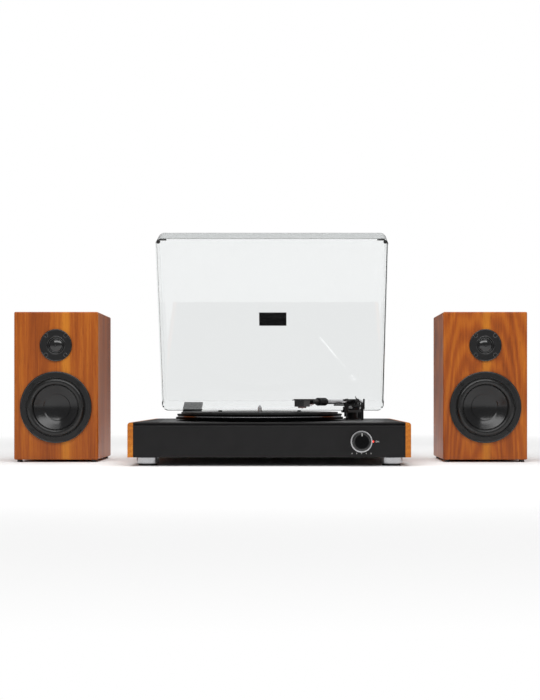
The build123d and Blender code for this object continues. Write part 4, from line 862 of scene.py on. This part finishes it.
@dataclass
class DustCover:
    """Clear cover with its stops, plate and hinges."""

    dash_near: float = 191.5
    dash_far: float = 205.5

    def build(self) -> None:
        """Dress the cover."""
        dress(Acrylic("clear_acrylic"), "dust_cover")
        dress(NITRILE, "lid_bumpers")
        dress(GLOSS_ABS, "lid_plate")
        dress(BLACK_ABS, "hinge_leaves", "hinge_bases")
        dress(TURNED, "hinge_pins")
        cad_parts["dust_cover"].visible_shadow = False
        # A short dark nitrile block under the rim beside each bumper, set where a dark dash shows.
        for side, low_x in (("left", -self.dash_far), ("right", self.dash_near)):
            high_x = low_x + self.dash_far - self.dash_near
            block(f"{side}_rim_dark_dash", (low_x, 36.7, 396.6), (high_x, 38.6, 399.4), NITRILE, "cover",
                  0.3)


@dataclass
class Controls:
    """Knob, ring, lamp and plain marks on the front panel."""

    knob_x: float = 149.6
    knob_z: float = 39.9
    knob_face: float = -199.325
    panel_face: float = -184.025
    lamp_x: float = 168.7
    ticks: int = 5
    tick_pitch: float = 7.7
    tick_low: float = 19.6
    tick_high: float = 21.6
    face_rings: int = 20
    ring_pitch: float = 0.6

    def build(self) -> None:
        """Dress the controls."""
        dress(GLOSS_ABS, "volume_knob")
        dress(SPUN, "knob_ring")
        dress(Lens("red_lamp_lens"), "power_lamp")
        centre = (self.knob_x * MM, self.knob_face * MM, self.knob_z * MM)
        flutes = lathe("knob_flutes", [(14.2, -1.4), (15.3, -1.6, 1), (15.3, -13.6, 1), (14.2, -13.8)],
                       centre, True, teeth=48, tooth_mm=0.6)
        add_piece("knob_flutes", flutes, BLACK_ABS, "volume_knob")
        rings = [(self.ring_pitch * step, -0.38 if step % 2 else -0.48) for step in range(self.face_rings)]
        face = lathe("knob_spun_face", [(0.0, -0.6), *rings, (11.5, -0.6)], centre, True)
        add_piece("knob_spun_face", face, DARK_SPUN, "volume_knob", 80.0)
        block("knob_pointer", (self.knob_x - 0.5, self.knob_face + 0.02, self.knob_z + 9.2),
              (self.knob_x + 0.5, self.knob_face + 0.45, self.knob_z + 14.2), WHITE_INK, "volume_knob")
        for index in range(self.ticks):
            x = self.knob_x + (index - (self.ticks - 1) / 2) * self.tick_pitch
            block(f"panel_tick_{index + 1}", (x - 0.45, self.panel_face - 0.08, self.tick_low),
                  (x + 0.45, self.panel_face + 0.05, self.tick_high), WHITE_INK, "case", 0.02)
        label = lettering("power_label", "ON", 2.6, ((self.lamp_x + 3.6) * MM, (self.panel_face - 0.02) * MM,
                                                     (self.knob_z - 1.2) * MM))
        add_piece("power_label", label, WHITE_INK, "case")


@dataclass
class Loudspeakers:
    """Both speakers."""

    centre_x: float = 0.37
    baffle_y: float = -0.068025
    woofer_z: float = 0.0947
    tweeter_z: float = 0.2015
    cap_edge: float = 24.0
    cap_sphere: float = 36.5
    cap_height: float = -7.2
    cap_rings: int = 12
    screw_radius: float = 23.6
    screw_angle: float = 45.0
    cone_finish: Moulded = Moulded("coated_cone", colour="#101011", lighter="#151516", rough=0.2, grit_mm=1.6,
                                   relief_mm=0.004)
    left: Veneer = field(default_factory=lambda: Veneer(
        "cherry_veneer_left", heart_x=-0.72, heart_z=0.1, heart_depth=0.03, rise=0.03, ring_mm=17.0,
        figure=0.3, streak_x=-0.353))
    right: Veneer = field(default_factory=lambda: Veneer(
        "cherry_veneer_right", dark="#78370a", middle="#9a4a0b", light="#b36213", heart_x=0.36,
        heart_z=-0.02, heart_depth=0.012, rise=0.24, ring_mm=12.0,
        figure=0.6, streak_x=0.372))

    def build(self) -> None:
        """Dress the speakers."""
        dress(self.left, "left_cabinet")
        dress(self.right, "right_cabinet")
        dress(BLACK_STEEL, "woofer_baskets", "tweeter_plates", "driver_screws")
        dress(NITRILE, "speaker_feet")
        dress(Rubber("butyl_surround", colour="#0f0f0f", bloom="#171717", rough=0.3), "woofer_surrounds")
        dress(self.cone_finish, "left_woofer_cone", "right_woofer_cone")
        dress(GLOSS_ABS, "tweeter_domes")
        dress(BLACK_ABS, "terminal_cups", "crossovers", "woofer_magnets")
        for side, x in (("left", -self.centre_x), ("right", self.centre_x)):
            self.woofer(side, (x, self.baffle_y, self.woofer_z))
            self.tweeter(side, (x, self.baffle_y, self.tweeter_z))

    def woofer(self, side: str, centre: Point) -> None:
        """Smooth cone and cap, and the polished beads of the basket's steps.

        Args:
            side: "left" or "right".
            centre: Middle of the driver on the baffle.
        """
        cap = []
        rise = math.sqrt(self.cap_sphere ** 2 - self.cap_edge ** 2)
        for step in range(self.cap_rings + 1):
            radius = self.cap_edge * (1 - step / self.cap_rings)
            drop = math.sqrt(self.cap_sphere ** 2 - radius ** 2) - rise
            cap.append((radius, self.cap_height - drop))
        skin = [(37.6, 1.7), (31.0, -2.75), (24.8, -6.8), *cap, (0.0, -16.6), (23.0, -8.4), (37.6, 1.4)]
        add_piece(f"{side}_cone_skin", lathe(f"{side}_cone_skin", skin, centre, True, steps=160),
                  self.cone_finish, f"{side}_cone", 20.0)
        for name, inner, outer, foot in (("rim", 59.4, 61.6, 2.6), ("step", 50.4, 52.8, 1.4)):
            self.bead(f"{side}_woofer_{name}_bead", inner, outer, foot, 0.8, centre)

    def tweeter(self, side: str, centre: Point) -> None:
        """Polished beads of the plate, the dome's own surround and the rims of the screw seats.

        Args:
            side: "left" or "right".
            centre: Middle of the driver on the baffle.
        """
        self.bead(f"{side}_tweeter_rim_bead", 25.9, 27.7, 2.1, 0.7, centre)
        self.bead(f"{side}_tweeter_well_bead", 14.0, 16.4, 2.1, 0.9, centre)
        self.bead(f"{side}_dome_surround", 11.0, 13.2, 1.2, 0.9, centre)
        for index in range(4):
            angle = math.radians(self.screw_angle + 90 * index)
            place = (centre[0] + self.screw_radius * MM * math.cos(angle), centre[1],
                     centre[2] + self.screw_radius * MM * math.sin(angle))
            name = f"{side}_screw_rim_{index + 1}"
            rim = lathe(name, [(2.9, 2.4), (3.1, 2.75), (3.4, 2.75), (3.6, 2.4)], place, True, steps=40)
            add_piece(name, rim, CHROME, "case")

    @staticmethod
    def bead(name: str, inner: float, outer: float, foot: float, rise: float, centre: Point) -> None:
        """A polished half-round ring, in millimetres from the baffle.

        Args:
            name: Name of the piece.
            inner: Inner radius.
            outer: Outer radius.
            foot: Height of its foot in front of the baffle.
            rise: Height of its crown over the foot.
            centre: Middle of the driver on the baffle.
        """
        middle, half = (inner + outer) / 2, (outer - inner) / 2
        turns = [math.radians(20 * step) for step in range(10)]
        arc = [(middle + half * math.cos(turn), foot + rise * math.sin(turn)) for turn in turns]
        add_piece(name, lathe(name, arc, centre, True, steps=160), GLOSS_ABS, "case", 60.0)


def main() -> None:
    """Build the studio and every sub-assembly."""
    logging.basicConfig(level=logging.INFO, format="%(name)s: %(message)s")
    Studio().build()
    for part in (Case(), PlatterSet(), Tonearm(), DustCover(), Controls(), Loudspeakers()):
        part.build()
        LOG.info("%s is dressed", type(part).__name__)


if __name__ == "__main__":
    main()
